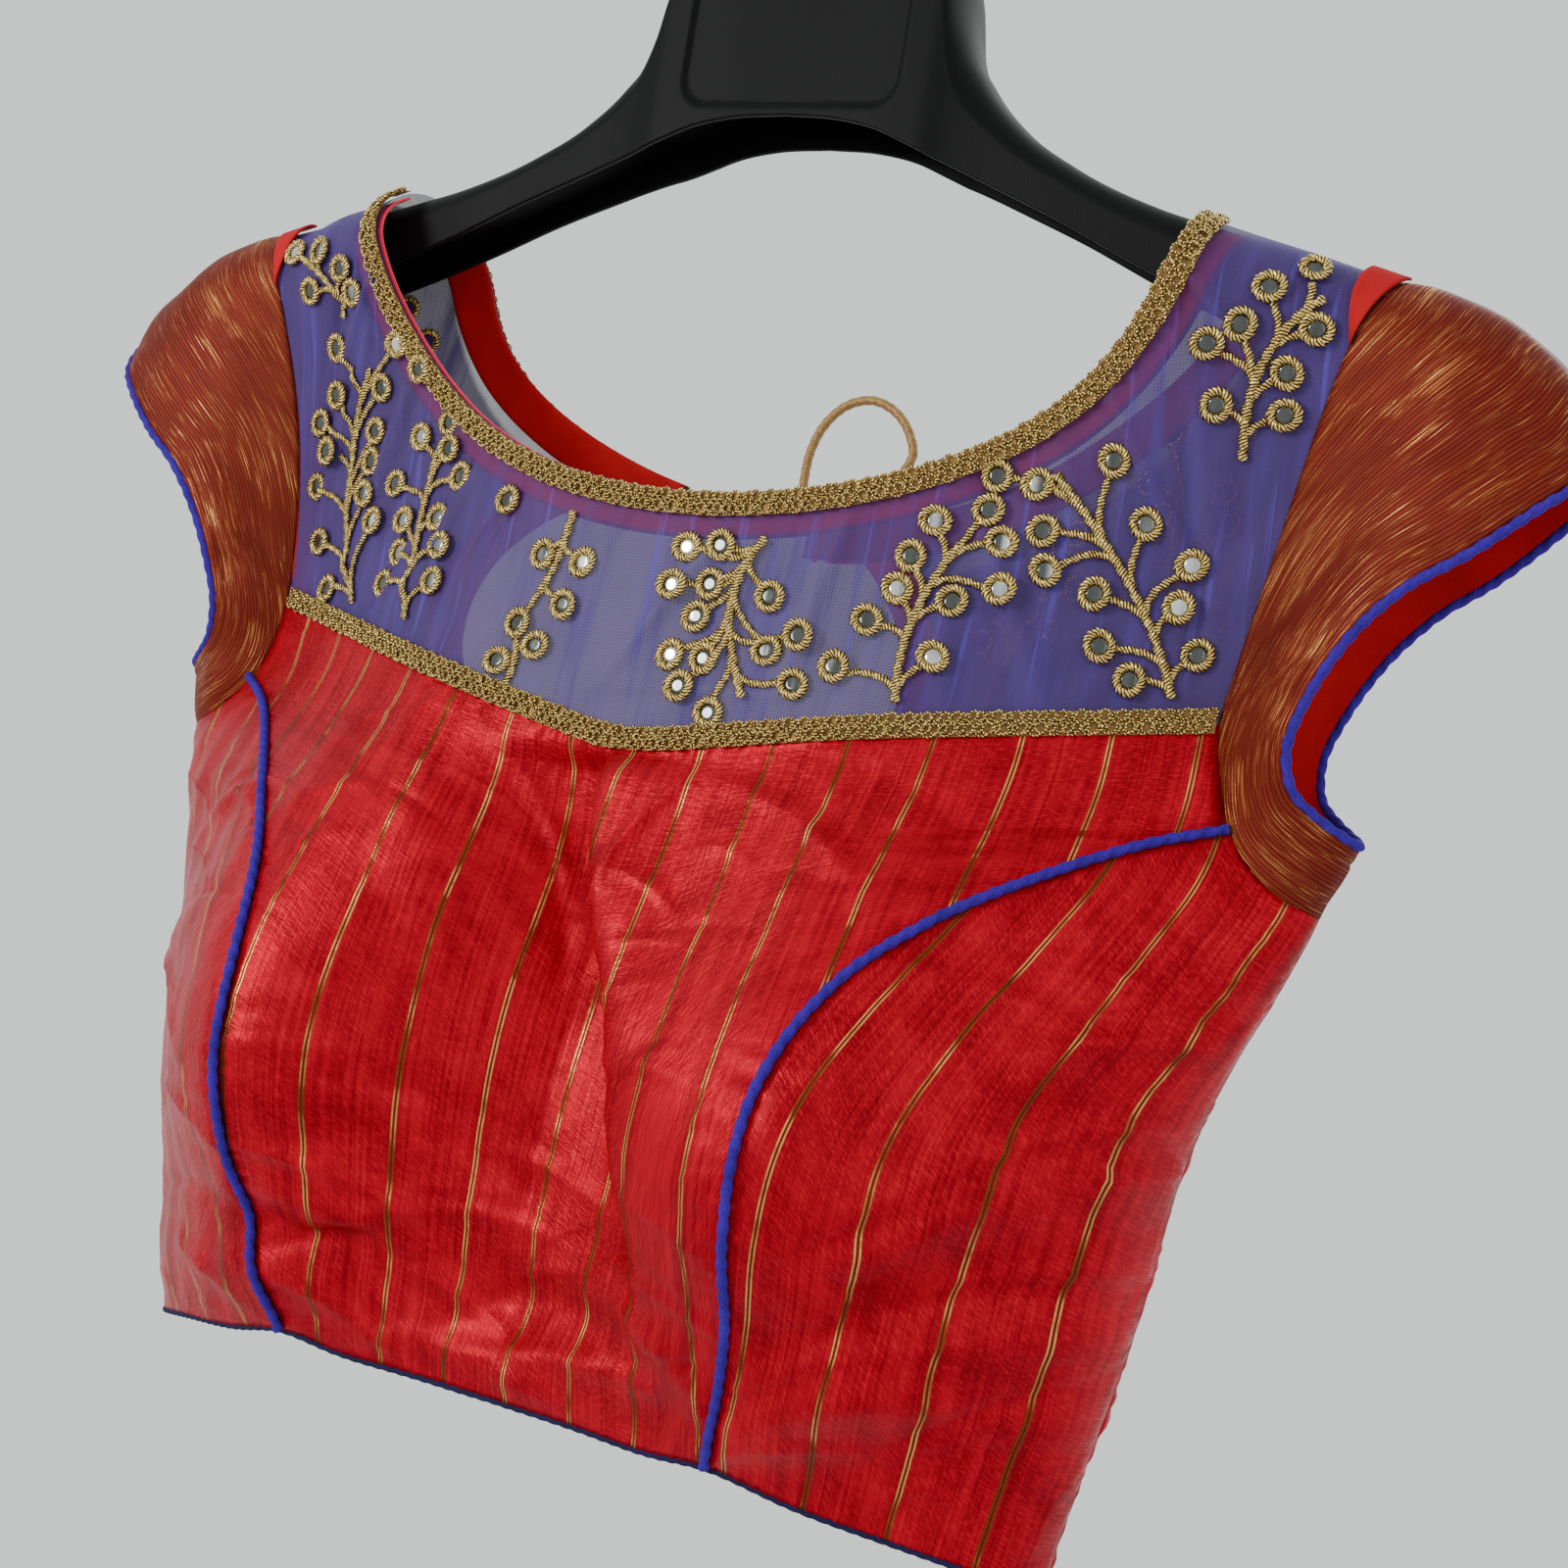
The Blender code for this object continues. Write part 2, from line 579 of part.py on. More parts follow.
def add_yokes():
    """The net yoke: one front piece, and two back pieces with the open keyhole between them."""
    surfaces = {}
    corner = np.arccos(NECK_REACH)
    rise = corner * (YOKE_TURNS / YOKE_TURN)
    seam_x = YOKE_HALF_WIDTH * (2.0 * SEAM_STEPS - 1.0)
    middle = np.arccos(-NECK_REACH * (2.0 * SEAM_STEPS - 1.0))
    angles = np.concatenate([rise[:-1], middle, np.pi - rise[-2::-1]])
    left_x, left_z = armhole(YOKE_TURNS, -1)
    outer_x = np.concatenate([left_x[:-1], seam_x, -left_x[-2::-1]])
    outer_z = np.concatenate([left_z[:-1], yoke_seam(seam_x), left_z[-2::-1]])
    top = neck_edge(angles, FRONT_NECK_DROP)
    bottom = (outer_x, outer_z)
    arm = len(YOKE_TURNS) - 1
    near_bottom = np.full(len(angles), TRIM_ABOVE_SEAM)
    near_bottom[:arm] = STRIP_WIDTH
    near_bottom[-arm:] = STRIP_WIDTH
    down = heights(top, bottom, -1, (TRIM_WIDTH, FACING_WIDTH), near_bottom, 3)
    across = np.linspace(0.0, 1.0, len(angles))

    def shoulder(side):
        def line(v):
            x = NECK_HALF_WIDTH + v * (SLEEVE[0][1] - NECK_HALF_WIDTH)
            return side * x, ridge(x)
        return line

    s, q = coons(top, bottom, shoulder(-1), shoulder(1), across, down)
    surfaces["yoke_front"] = add_panel("yoke_front", s, q, -1, ("first", "last", "bottom"), "net")
    for side, tail in SIDES:
        tip, seam = keyhole_angles(side)
        end = np.arccos(side * keyhole_edge(tip, side)[0] / NECK_HALF_WIDTH)
        corner_x = keyhole_edge(seam, side)[0]
        seam_x = corner_x + BACK_STEPS[::-1] * (side * YOKE_HALF_WIDTH - corner_x)
        middle = end + BACK_STEPS[::-1] * (corner - end)
        angles = np.concatenate([rise[:-1], middle])
        arm_x, arm_z = armhole(YOKE_TURNS, side)
        x, z = neck_edge(angles, BACK_NECK_DROP)
        top = (-side * x, z)
        bottom = (np.concatenate([arm_x[:-1], seam_x]), np.concatenate([arm_z[:-1], yoke_seam(seam_x)]))
        down = heights(top, bottom, 1, (TRIM_WIDTH, FACING_WIDTH), None, 4)
        s, q = coons(top, bottom, shoulder(side), lambda v: keyhole_edge(tip + v * (seam - tip), side),
                     np.linspace(0.0, 1.0, len(angles)), down)
        name = "yoke_back_" + tail
        surfaces[name] = add_panel(name, s, q, 1, ("first", "bottom"), "net")
    return surfaces


def add_back():
    """The silk back in two halves, closed down the centre below the keyhole."""
    surfaces = {}
    for side, tail in SIDES:
        seam = keyhole_angles(side)[1]
        arc_x, arc_z = keyhole_edge(np.linspace(np.pi, seam, KEYHOLE_STEPS + 1), side)
        seam_x = arc_x[-1] + BACK_STEPS * (side * YOKE_HALF_WIDTH - arc_x[-1])
        arm_x, arm_z = armhole(np.concatenate([MIDDLE_TURNS[1:], LOW_TURNS[1:]]), side)
        top = (np.concatenate([arc_x[:-1], seam_x, arm_x]), np.concatenate([arc_z[:-1], yoke_seam(seam_x), arm_z]))
        lengths = np.hypot(np.diff(top[0]), np.diff(top[1]))
        across = np.concatenate([[0.0], np.cumsum(lengths) / np.sum(lengths)])
        hem_x = side * HEM_HALF_WIDTH * across
        down = np.tile(SIDE_STEPS, (len(across), 1))

        def inner(v):
            return KEYHOLE["x"] * (1.0 - v), arc_z[0] + v * (hem_line(0.0) - arc_z[0])

        s, q = coons(top, (hem_x, hem_line(hem_x)), inner, lambda v: side_seam(v, side), across, down)
        name = "back_" + tail
        surfaces[name] = add_panel(name, s, q, 1, ("first", "last", "top"), "silk")
    return surfaces


def sleeve_grid(side, turns, rows):
    """Points and outward normals of one cap sleeve, a ring that is narrow under the arm."""
    turn = np.asarray(turns)[:, None]
    v = np.asarray(rows)[None, :]
    half = np.where(turn > 1.0, 2.0 - turn, turn)
    face = np.where(turn > 1.0, 1.0, -1.0)
    seam_x, seam_z = armhole(half, 1)
    s, q = place(seam_x, seam_z)
    front, front_normal = shell_frame(s, q, -1)
    back, back_normal = shell_frame(s, q, 1)
    is_back = (face > 0)[..., None]
    seam = np.where(is_back, back, front)
    seam_normal = np.where(is_back, back_normal, front_normal)
    spread = np.sqrt(np.clip(np.sin(np.pi * half), 0.0, 1.0))
    hem = np.stack([read(SLEEVE, SLEEVE_COLUMNS, "hem_x", half), -0.001 + face * SLEEVE_HALF_DEPTH * spread,
                    read(SLEEVE, SLEEVE_COLUMNS, "hem_z", half)], axis=-1)
    arch = 4.0 * v * (1.0 - v)
    lift = arch * SLEEVE_CROWN * np.cos(0.5 * np.pi * half) ** 1.5
    fill = arch * SLEEVE_FILL * np.sin(np.pi * half) * face
    points = seam + (hem - seam) * v[..., None]
    points = points + lift[..., None] * np.array([0.55, 0.0, 0.83]) + fill[..., None] * np.array([0.0, 1.0, 0.0])
    around = np.roll(points, -1, 0) - np.roll(points, 1, 0)
    out = np.gradient(points, axis=1)
    normal = np.cross(around, out)
    normal /= np.linalg.norm(normal, axis=-1, keepdims=True)
    keep = ease(1.0 - v / 0.2)[..., None]
    normal = normal * (1.0 - keep) + seam_normal * keep
    normal /= np.linalg.norm(normal, axis=-1, keepdims=True)
    mirror = np.array([side, 1.0, 1.0])
    return points * mirror, normal * mirror


def add_sleeves():
    """Cap sleeves, each a ring with a lining and a corded hem."""
    for side, tail in SIDES:
        surface = sleeve_grid(side, RING_TURNS, np.array([0.0, 0.07, 0.35, 0.68, 1.0]))
        points, normals = surface
        drawn = pull_in(points, ("top",))
        add_wall("sleeve_" + tail, drawn - 0.5 * CLOTH * normals, drawn + 0.5 * CLOTH * normals, "tissue", True)
        inner = -0.5 * CLOTH - SEAM_GAP
        points, normals = part_of(surface, slice(None), slice(1, None))
        add_wall("sleeve_lining_" + tail, points + (inner - FACING) * normals, points + inner * normals,
                 "lining", True)
        out = points[:, -1] - points[:, -2]
        out /= np.linalg.norm(out, axis=1, keepdims=True)
        path = points[:, -1] + (PIPING_RADIUS + 1.5 * SEAM_GAP) * out
        add_tube("sleeve_piping_" + tail, path, PIPING_RADIUS, 6, "blue", True, 0.31 * side)


def add_pipings(surfaces):
    """Blue cords on the curved seams, and the narrow cord along the hem."""
    for side, tail in SIDES:
        points, normals = part_of(surfaces["front_side_" + tail], 0, slice(None))
        path = points + (0.5 * CLOTH + SEAM_GAP + PIPING_RADIUS) * normals
        add_tube("princess_piping_" + tail, path, PIPING_RADIUS, 6, "blue")
    runs = {"hem_piping_front": ("front_side_r", "front_centre", "front_side_l"),
            "hem_piping_back_l": ("back_l",), "hem_piping_back_r": ("back_r",)}
    for name, panels in runs.items():
        stretches = []
        for panel in panels:
            points = surfaces[panel][0]
            down = points[:, -1] - points[:, -2]
            down /= np.linalg.norm(down, axis=1, keepdims=True)
            stretch = points[:, -1] + (HEM_PIPING_RADIUS + 1.5 * SEAM_GAP) * down
            if panel == "front_side_r":
                stretch = stretch[::-1]
            stretches.append(stretch if not stretches else stretch[1:])
        path = pull_path(np.concatenate(stretches))
        add_tube(name, path, HEM_PIPING_RADIUS, 6, "blue")


def pull_path(path):
    """Draws both ends of a path in, clear of the path that carries on."""
    path = path.copy()
    for end, inner in ((0, 1), (-1, -2)):
        towards = path[inner] - path[end]
        path[end] = path[end] + PIPING_END * towards / np.linalg.norm(towards)
    return path


def add_trims(surfaces):
    """Gold trim at the neck and on the front yoke seam, and the red facings behind the edges."""
    front = surfaces["yoke_front"]
    arm = len(YOKE_TURNS) - 1
    every = slice(None)
    add_band("neck_trim_front", draw_ends(part_of(front, every, slice(0, 2))), TRIM_HEIGHT, True, "gold")
    add_band("neck_facing_front", part_of(front, slice(1, -1), slice(0, 3)), FACING, False, "lining")
    seam = join_rows(part_of(front, slice(arm, -arm), slice(-2, None)),
                     part_of(surfaces["front_centre"], every, slice(0, 2)))
    add_band("yoke_trim_front", draw_ends(seam), TRIM_HEIGHT, True, "gold")
    for side, tail in SIDES:
        count = len(STRIP_TAPER)
        columns = slice(-1, -1 - count, -1) if side > 0 else slice(0, count)
        points, normals = part_of(front, columns, slice(-2, None))
        points = points.copy()
        taper = np.array(STRIP_TAPER)[:, None]
        points[:, 0] = points[:, 1] + taper * (points[:, 0] - points[:, 1])
        add_band("armhole_strip_" + tail, draw_ends((points, normals)), FACING, True, "lining")
        back = surfaces["yoke_back_" + tail]
        add_band("neck_trim_back_" + tail, draw_ends(part_of(back, every, slice(0, 2))), TRIM_HEIGHT, True, "gold")
        add_band("neck_facing_back_" + tail, part_of(back, slice(1, -2), slice(0, 3)), FACING, False, "lining")
        upper = part_of(back, slice(-1, -3, -1), slice(1, None))
        add_band("keyhole_facing_" + tail, draw_ends(upper), FACING, False, "lining")
        lower = part_of(surfaces["back_" + tail], slice(0, KEYHOLE_STEPS + 1), slice(0, 2))
        add_band("keyhole_facing_low_" + tail, draw_ends(lower), FACING, False, "lining")


def draw_ends(surface):
    """Draws a band's first and last columns in, so that it clears what it meets there."""
    points, normals = surface
    return pull_in(pull_in(points, ("first", "last")), ("first", "last")), normals


def add_dori():
    """The gold-wrapped cord loop sewn to the corner of the back neck."""
    rows = np.array(DORI_POINTS)
    keys = np.concatenate([[0.0], np.cumsum(np.linalg.norm(np.diff(rows, axis=0), axis=1))])
    at = np.linspace(0.0, keys[-1], 17)
    table = np.column_stack([keys, rows])
    columns = ("along", "x", "y", "z")
    route = np.stack([read(table, columns, axis, at) for axis in "xyz"], axis=1)
    route[:, 2] += RIDGE_Z
    curve = bpy.data.curves.new("dori_loop", "CURVE")
    curve.dimensions = "3D"
    curve.bevel_depth = DORI_RADIUS
    curve.bevel_resolution = 2
    curve.use_fill_caps = True
    spline = curve.splines.new("POLY")
    spline.points.add(len(route) - 1)
    for point, (x, y, z) in zip(spline.points, route):
        point.co = (x, y, z, 1.0)
    curve.materials.append(material("gold"))
    made = bpy.data.objects.new("dori_loop", curve)
    bpy.context.scene.collection.objects.link(made)


def hanger_section(low, top, half_depth):
    """One cross-section of the hanger: a rounded top and a channel along the underside."""
    crown = min(HANGER_CROWN, 0.45 * (top - low))
    channel = min(HANGER_CHANNEL, 0.3 * (top - low))
    lip = min(HANGER_LIP, 0.3 * half_depth)
    arc = np.linspace(np.pi, 0.0, 7)
    ys = list(half_depth * np.cos(arc)) + [half_depth, half_depth - lip, half_depth - lip]
    zs = list(top - crown + crown * np.sin(arc)) + [low, low, low + channel]
    ys += [-half_depth + lip, -half_depth + lip, -half_depth]
    zs += [low + channel, low, low]
    return np.array(ys), np.array(zs)


def add_hanger():
    """The moulded hanger, carried by its steel hook."""
    rows = [dict(zip(HANGER_COLUMNS, row)) for row in HANGER]
    stations = [dict(row, x=-row["x"]) for row in rows[:0:-1]] + rows
    rings = []
    for row in stations:
        ys, zs = hanger_section(row["low"], row["top"], row["half_depth"])
        rings.append(np.stack([np.full_like(ys, row["x"]), ys, zs], axis=1))
    sides = len(rings[0])
    faces = []
    for i in range(len(rings) - 1):
        for j in range(sides):
            k = (j + 1) % sides
            faces.append((i * sides + j, i * sides + k, (i + 1) * sides + k, (i + 1) * sides + j))
    faces.append(tuple(range(sides)))
    faces.append(tuple((len(rings) - 1) * sides + j for j in range(sides)))
    body = add_mesh("hanger_body", np.array(rings), faces, "plastic")

    cutter_mesh = bpy.data.meshes.new("recess_cutter")
    work = bmesh.new()
    bmesh.ops.create_cube(work, size=1.0)
    upright = [edge for edge in work.edges if abs(edge.verts[0].co.y - edge.verts[1].co.y) > 0.5]
    width = 2.0 * RECESS["half_width"]
    height = RECESS["high"] - RECESS["low"]
    for vertex in work.verts:
        vertex.co.x *= width
        vertex.co.y = vertex.co.y * 0.01 - rows[0]["half_depth"] + RECESS["depth"] - 0.005
        vertex.co.z = vertex.co.z * height + 0.5 * (RECESS["high"] + RECESS["low"]) + RIDGE_Z
    bmesh.ops.bevel(work, geom=upright, offset=RECESS["radius"], segments=4, affect="EDGES", profile=0.5)
    work.to_mesh(cutter_mesh)
    work.free()
    cutter = bpy.data.objects.new("recess_cutter", cutter_mesh)
    cutter.hide_render = True
    cutter.display_type = "WIRE"
    bpy.context.scene.collection.objects.link(cutter)
    cut = body.modifiers.new("recess", "BOOLEAN")
    cut.operation = "DIFFERENCE"
    cut.object = cutter

    block_top = rows[0]["top"]
    centre_z = -RIDGE_Z + HOOK_RADIUS - HOOK_BEND
    angles = np.radians(np.linspace(-62.0, 205.0, 19))
    bend = np.stack([HOOK_BEND * np.cos(angles), np.zeros_like(angles), centre_z + HOOK_BEND * np.sin(angles)], axis=1)
    foot = np.array([0.0, 0.0, block_top + SEAM_GAP])
    t = np.linspace(0.0, 1.0, 7)[:-1, None]
    knee = np.array([0.0, 0.0, block_top + 0.014])
    stem = (1 - t) ** 2 * foot + 2 * t * (1 - t) * knee + t ** 2 * bend[0]
    add_tube("hanger_hook", np.concatenate([stem, bend]), HOOK_RADIUS, 8, "steel")


for scene_object in list(bpy.data.objects):
    bpy.data.objects.remove(scene_object)

panels = {**add_front(), **add_back(), **add_yokes()}
add_sleeves()
add_pipings(panels)
add_trims(panels)
add_dori()
add_hanger()
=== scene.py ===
"""Choli blouse on its hanger: the looks of every piece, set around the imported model.

Everything is in metres: the origin is inside the hanger's hook, +X is the wearer's left,
-Y the front and +Z up. Places on the cloth are given by x and by z below the shoulder line.
"""

import bpy
import numpy as np
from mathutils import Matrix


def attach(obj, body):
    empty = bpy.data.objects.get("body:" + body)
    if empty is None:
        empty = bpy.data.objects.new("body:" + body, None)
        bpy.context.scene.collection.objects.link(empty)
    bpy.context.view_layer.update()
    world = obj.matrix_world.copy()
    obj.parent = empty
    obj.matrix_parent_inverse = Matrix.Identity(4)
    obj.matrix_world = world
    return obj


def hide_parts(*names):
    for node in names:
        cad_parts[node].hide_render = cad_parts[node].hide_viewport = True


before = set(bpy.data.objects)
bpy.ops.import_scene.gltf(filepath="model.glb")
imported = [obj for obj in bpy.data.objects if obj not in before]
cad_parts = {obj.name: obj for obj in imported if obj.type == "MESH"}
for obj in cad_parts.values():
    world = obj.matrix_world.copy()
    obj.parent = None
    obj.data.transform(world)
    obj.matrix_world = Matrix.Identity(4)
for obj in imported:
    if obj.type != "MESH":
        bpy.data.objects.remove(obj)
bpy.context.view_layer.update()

# Camera
# It looks at the blouse from the wearer's left, level with the chest, and is tilted so that
# the hanger leans as it does in the photograph.
UPRIGHT = np.array([0.0, 0.0, 1.0])


def unit(vectors):
    """The same vectors with a length of 1."""
    return vectors / np.linalg.norm(vectors, axis=-1, keepdims=True)


def stand(thing, right, up, back, place):
    """Puts a camera or a lamp in the scene by its three axes and its place."""
    matrix = np.eye(4)
    matrix[:3] = np.column_stack([right, up, back, place])
    thing.matrix_world = matrix.T.tolist()
    bpy.context.scene.collection.objects.link(thing)


azimuth, elevation, roll = np.radians((26.788, -0.287, 9.328))
towards_back = np.array([np.sin(azimuth) * np.cos(elevation), -np.cos(azimuth) * np.cos(elevation),
                         np.sin(elevation)])
level_right = unit(np.cross(-towards_back, UPRIGHT))
level_up = np.cross(towards_back, level_right)
camera_data = bpy.data.cameras.new("camera")
camera_data.lens = 51.75
camera_data.clip_start = 0.02
camera = bpy.data.objects.new("camera", camera_data)
stand(camera, level_right * np.cos(roll) + level_up * np.sin(roll),
      level_up * np.cos(roll) - level_right * np.sin(roll), towards_back, [0.33259, -0.60247, -0.32670])
bpy.context.scene.camera = camera

# Light and floor
# Large soft lamps stand to the left and right of the camera and behind the blouse, in a pale room.
# The floor is a broad pale ring well below the hem, because the hanger hangs from a rail.
FLOOR_Z = -1.60

for lamp_name, lamp_place, aim, size, power in (
        ("key", (-0.85, -1.55, 0.15), (0.0, 0.0, -0.40), 0.60, 21.0),
        ("fill", (1.50, -1.10, 0.05), (0.0, 0.0, -0.30), 1.20, 3.0),
        ("rim", (0.30, 1.50, 0.90), (0.0, 0.0, -0.30), 1.00, 7.0)):
    lamp_data = bpy.data.lights.new(lamp_name, "AREA")
    lamp_data.shape = "DISK"
    lamp_data.size = size
    lamp_data.energy = power
    away = unit(np.array(lamp_place) - aim)
    side = unit(np.cross(UPRIGHT, away))
    stand(bpy.data.objects.new(lamp_name, lamp_data), side, np.cross(away, side), away, lamp_place)

world = bpy.data.worlds.new("pale_room")
world.use_nodes = True
background = world.node_tree.nodes["Background"]
background.inputs["Color"].default_value = (0.76, 0.785, 0.785, 1.0)
background.inputs["Strength"].default_value = 1.27
bpy.context.scene.world = world


class Thread:
    """A shader socket. Arithmetic on it adds Math nodes, so that a pattern reads as a sum."""

    def __init__(self, tree, socket):
        self.tree = tree
        self.socket = socket

    def node(self, kind, settings, inputs, output=0):
        """Any other node: its settings are set first, then the values or links of its sockets."""
        made = self.tree.nodes.new(kind)
        for key, value in settings.items():
            if key == "stops":
                ramp = made.color_ramp.elements
                while len(ramp) < len(value):
                    ramp.new(0.5)
                for stop, (position, colour) in zip(ramp, value):
                    stop.position = position
                    stop.color = colour
            else:
                setattr(made, key, value)
        for key, value in inputs.items():
            if isinstance(value, Thread):
                self.tree.links.new(value.socket, made.inputs[key])
            else:
                made.inputs[key].default_value = value
        return Thread(self.tree, made.outputs[output])

    def math(self, operation, first, second=0.0):
        return self.node("ShaderNodeMath", {"operation": operation}, {0: first, 1: second})

    def __add__(self, other):
        return self.math("ADD", self, other)

    __radd__ = __add__

    def __sub__(self, other):
        return self.math("SUBTRACT", self, other)

    def __rsub__(self, other):
        return self.math("SUBTRACT", other, self)

    def __mul__(self, other):
        return self.math("MULTIPLY", self, other)

    __rmul__ = __mul__

    def __mod__(self, other):
        return self.math("FLOORED_MODULO", self, other)

    def __abs__(self):
        return self.math("ABSOLUTE", self)

    def wave(self):
        """A wave of 0 to 1, with this as its angle."""
        return self.math("SINE", self) * 0.5 + 0.5

    def step(self, low, high):
        """0 below low and 1 above high, with a soft rise between them."""
        return self.node("ShaderNodeMapRange", {"interpolation_type": "SMOOTHSTEP"},
                         {"Value": self, "From Min": low, "From Max": high})

    def mix(self, first, second):
        """The first colour where this is 0 and the second where it is 1. A tuple is a plain colour."""
        first, second = ((*colour, 1.0) if isinstance(colour, tuple) else colour
                         for colour in (first, second))
        return self.node("ShaderNodeMix", {"data_type": "RGBA"}, {0: self, 6: first, 7: second}, 2)

    def noise(self, along, across, detail=2.0, roughness=0.5, third=0.0):
        """Smooth noise on this UV place, with so many spots in a metre each way."""
        spots = self.node("ShaderNodeVectorMath", {"operation": "MULTIPLY"},
                          {0: self, 1: (along, across, 1.0)})
        shifted = self.node("ShaderNodeVectorMath", {"operation": "ADD"}, {0: spots, 1: (0.0, 0.0, third)})
        return self.node("ShaderNodeTexNoise", {}, {"Vector": shifted, "Scale": 1.0, "Detail": detail,
                                                    "Roughness": roughness})

    def axis(self, letter):
        """One coordinate of this vector."""
        return self.node("ShaderNodeSeparateXYZ", {}, {0: self}, "XYZ".index(letter))


class Finish:
    """A Principled material, with its coordinates and the sockets that a pattern may feed."""

    def __init__(self, name, coordinates="uv", **constants):
        self.material = bpy.data.materials.new(name)
        self.material.use_nodes = True
        self.tree = self.material.node_tree
        self.shader = self.tree.nodes["Principled BSDF"]
        for key, value in constants.items():
            socket = self.shader.inputs[key.replace("_", " ").title().replace("Ior", "IOR")]
            socket.default_value = (*value, 1.0) if isinstance(value, tuple) else value
        start = Thread(self.tree, None)
        if coordinates == "uv":
            self.place = start.node("ShaderNodeUVMap", {"uv_map": "cloth"}, {})
        else:
            self.place = start.node("ShaderNodeTexCoord", {}, {}, "Object")

    def feed(self, socket, value):
        self.tree.links.new(value.socket, self.shader.inputs[socket])

    def bump(self, height, distance, strength=1.0):
        """Relief on the surface, with heights of 0 to 1 over a distance in metres."""
        self.feed("Normal", height.node("ShaderNodeBump", {}, {"Strength": strength, "Distance": distance,
                                                               "Height": height}))


def grid_mesh(name, points, uv=None, around=False, outward=None, capped=False):
    """A mesh with one four-sided face between each four neighbouring points of a grid.

    around joins the last column to the first. outward is a grid of normals: where the faces
    would look the other way, their corners are taken in reverse. uv is a grid of map places,
    with one more column than points when around is true.
    """
    rows, columns = points.shape[:2]
    i, j = np.meshgrid(np.arange(rows - 1), np.arange(columns if around else columns - 1), indexing="ij")
    corner_i = np.stack([i, i + 1, i + 1, i], axis=-1)
    corner_j = np.stack([j, j, j + 1, j + 1], axis=-1)
    if outward is not None:
        rise = np.cross(points[1:, :-1] - points[:-1, :-1], points[:-1, 1:] - points[:-1, :-1])
        if np.sum(rise * outward[:-1, :-1]) < 0.0:
            corner_i = corner_i[..., ::-1]
            corner_j = corner_j[..., ::-1]
    faces = (corner_i * columns + corner_j % columns).reshape(-1, 4).tolist()
    if capped:
        faces.append(list(range(columns - 1, -1, -1)))
        faces.append([(rows - 1) * columns + k for k in range(columns)])
    mesh = bpy.data.meshes.new(name)
    mesh.from_pydata(points.reshape(-1, 3), [], faces)
    if uv is not None:
        layer = mesh.uv_layers.new(name="cloth")
        flat = uv[corner_i, corner_j].reshape(-1, 2)
        if capped:
            flat = np.concatenate([flat, np.zeros((2 * columns, 2))])
        layer.data.foreach_set("uv", flat.ravel().astype(np.float32))
    mesh.shade_smooth()
    return mesh


def join_meshes(name, meshes):
    """One mesh from several, each with its own map."""
    joined = bpy.data.meshes.new(name)
    starts = np.cumsum([0] + [len(mesh.vertices) for mesh in meshes])
    places = []
    faces = []
    maps = []
    for start, mesh in zip(starts, meshes):
        block = np.empty(3 * len(mesh.vertices), np.float32)
        mesh.vertices.foreach_get("co", block)
        places.append(block.reshape(-1, 3))
        faces += [[start + k for k in face.vertices] for face in mesh.polygons]
        block = np.zeros(2 * len(mesh.loops), np.float32)
        if mesh.uv_layers:
            mesh.uv_layers["cloth"].data.foreach_get("uv", block)
        maps.append(block)
        bpy.data.meshes.remove(mesh)
    joined.from_pydata(np.concatenate(places), [], faces)
    joined.uv_layers.new(name="cloth").data.foreach_set("uv", np.concatenate(maps))
    joined.shade_smooth()
    return joined


def add_piece(name, mesh, finishes, replaces=(), thickness=0.0):
    """A piece of the blouse or hanger, fixed to its body.

    thickness gives a sheet its wall, behind its face. The last finish is the wall's back.
    """
    piece = bpy.data.objects.new(name, mesh)
    for finish in finishes:
        mesh.materials.append(finish.material)
    bpy.context.scene.collection.objects.link(piece)
    if thickness:
        wall = piece.modifiers.new("wall", "SOLIDIFY")
        wall.thickness = thickness
        wall.offset = -1.0
        wall.use_even_offset = False
        wall.material_offset = len(finishes) - 1
        wall.material_offset_rim = 0
    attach(piece, "root")
    if replaces:
        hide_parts(*replaces)
    return piece


angle = np.linspace(0.0, 2.0 * np.pi, 97)[:-1]
radius = np.linspace(0.5, 2.0, 4)[:, None]
floor_points = np.stack([radius * np.cos(angle), radius * np.sin(angle), np.full((4, 96), FLOOR_Z)],
                        axis=-1)
floor_finish = Finish("pale_floor", "object", roughness=0.9)
floor_grain = floor_finish.place.noise(14.0, 14.0, 3.0)
floor_finish.feed("Base Color", floor_grain.mix((0.58, 0.60, 0.60), (0.66, 0.68, 0.68)))
floor = bpy.data.objects.new("floor", grid_mesh("floor", floor_points, around=True,
                                                outward=np.tile(UPRIGHT, (4, 96, 1))))
floor.data.materials.append(floor_finish.material)
bpy.context.scene.collection.objects.link(floor)

# Loop cord
# A round cord wrapped in dull gold thread. Both its ends are stitched inside the corner of the
# back neck, and the loop stands up behind the neckline, held open by the stiffness of the wrap.
LOOP_POINTS = ((-0.0065, 0.052, -0.0905), (-0.0078, 0.052, -0.083), (-0.0086, 0.052, -0.073),
               (-0.008, 0.052, -0.0645), (-0.004, 0.052, -0.0545), (0.003, 0.052, -0.048),
               (0.0117, 0.052, -0.046), (0.02, 0.052, -0.049), (0.0268, 0.052, -0.0567),
               (0.0287, 0.052, -0.0625), (0.0262, 0.052, -0.0685), (0.0205, 0.052, -0.076),
               (0.014, 0.052, -0.0835), (0.01, 0.052, -0.0905))
LOOP_DIAMETER = 0.003
SHOULDER_DROP = np.array([0.0, 0.0, -0.150])
TO_BACK = np.array([0.0, 1.0, 0.0])


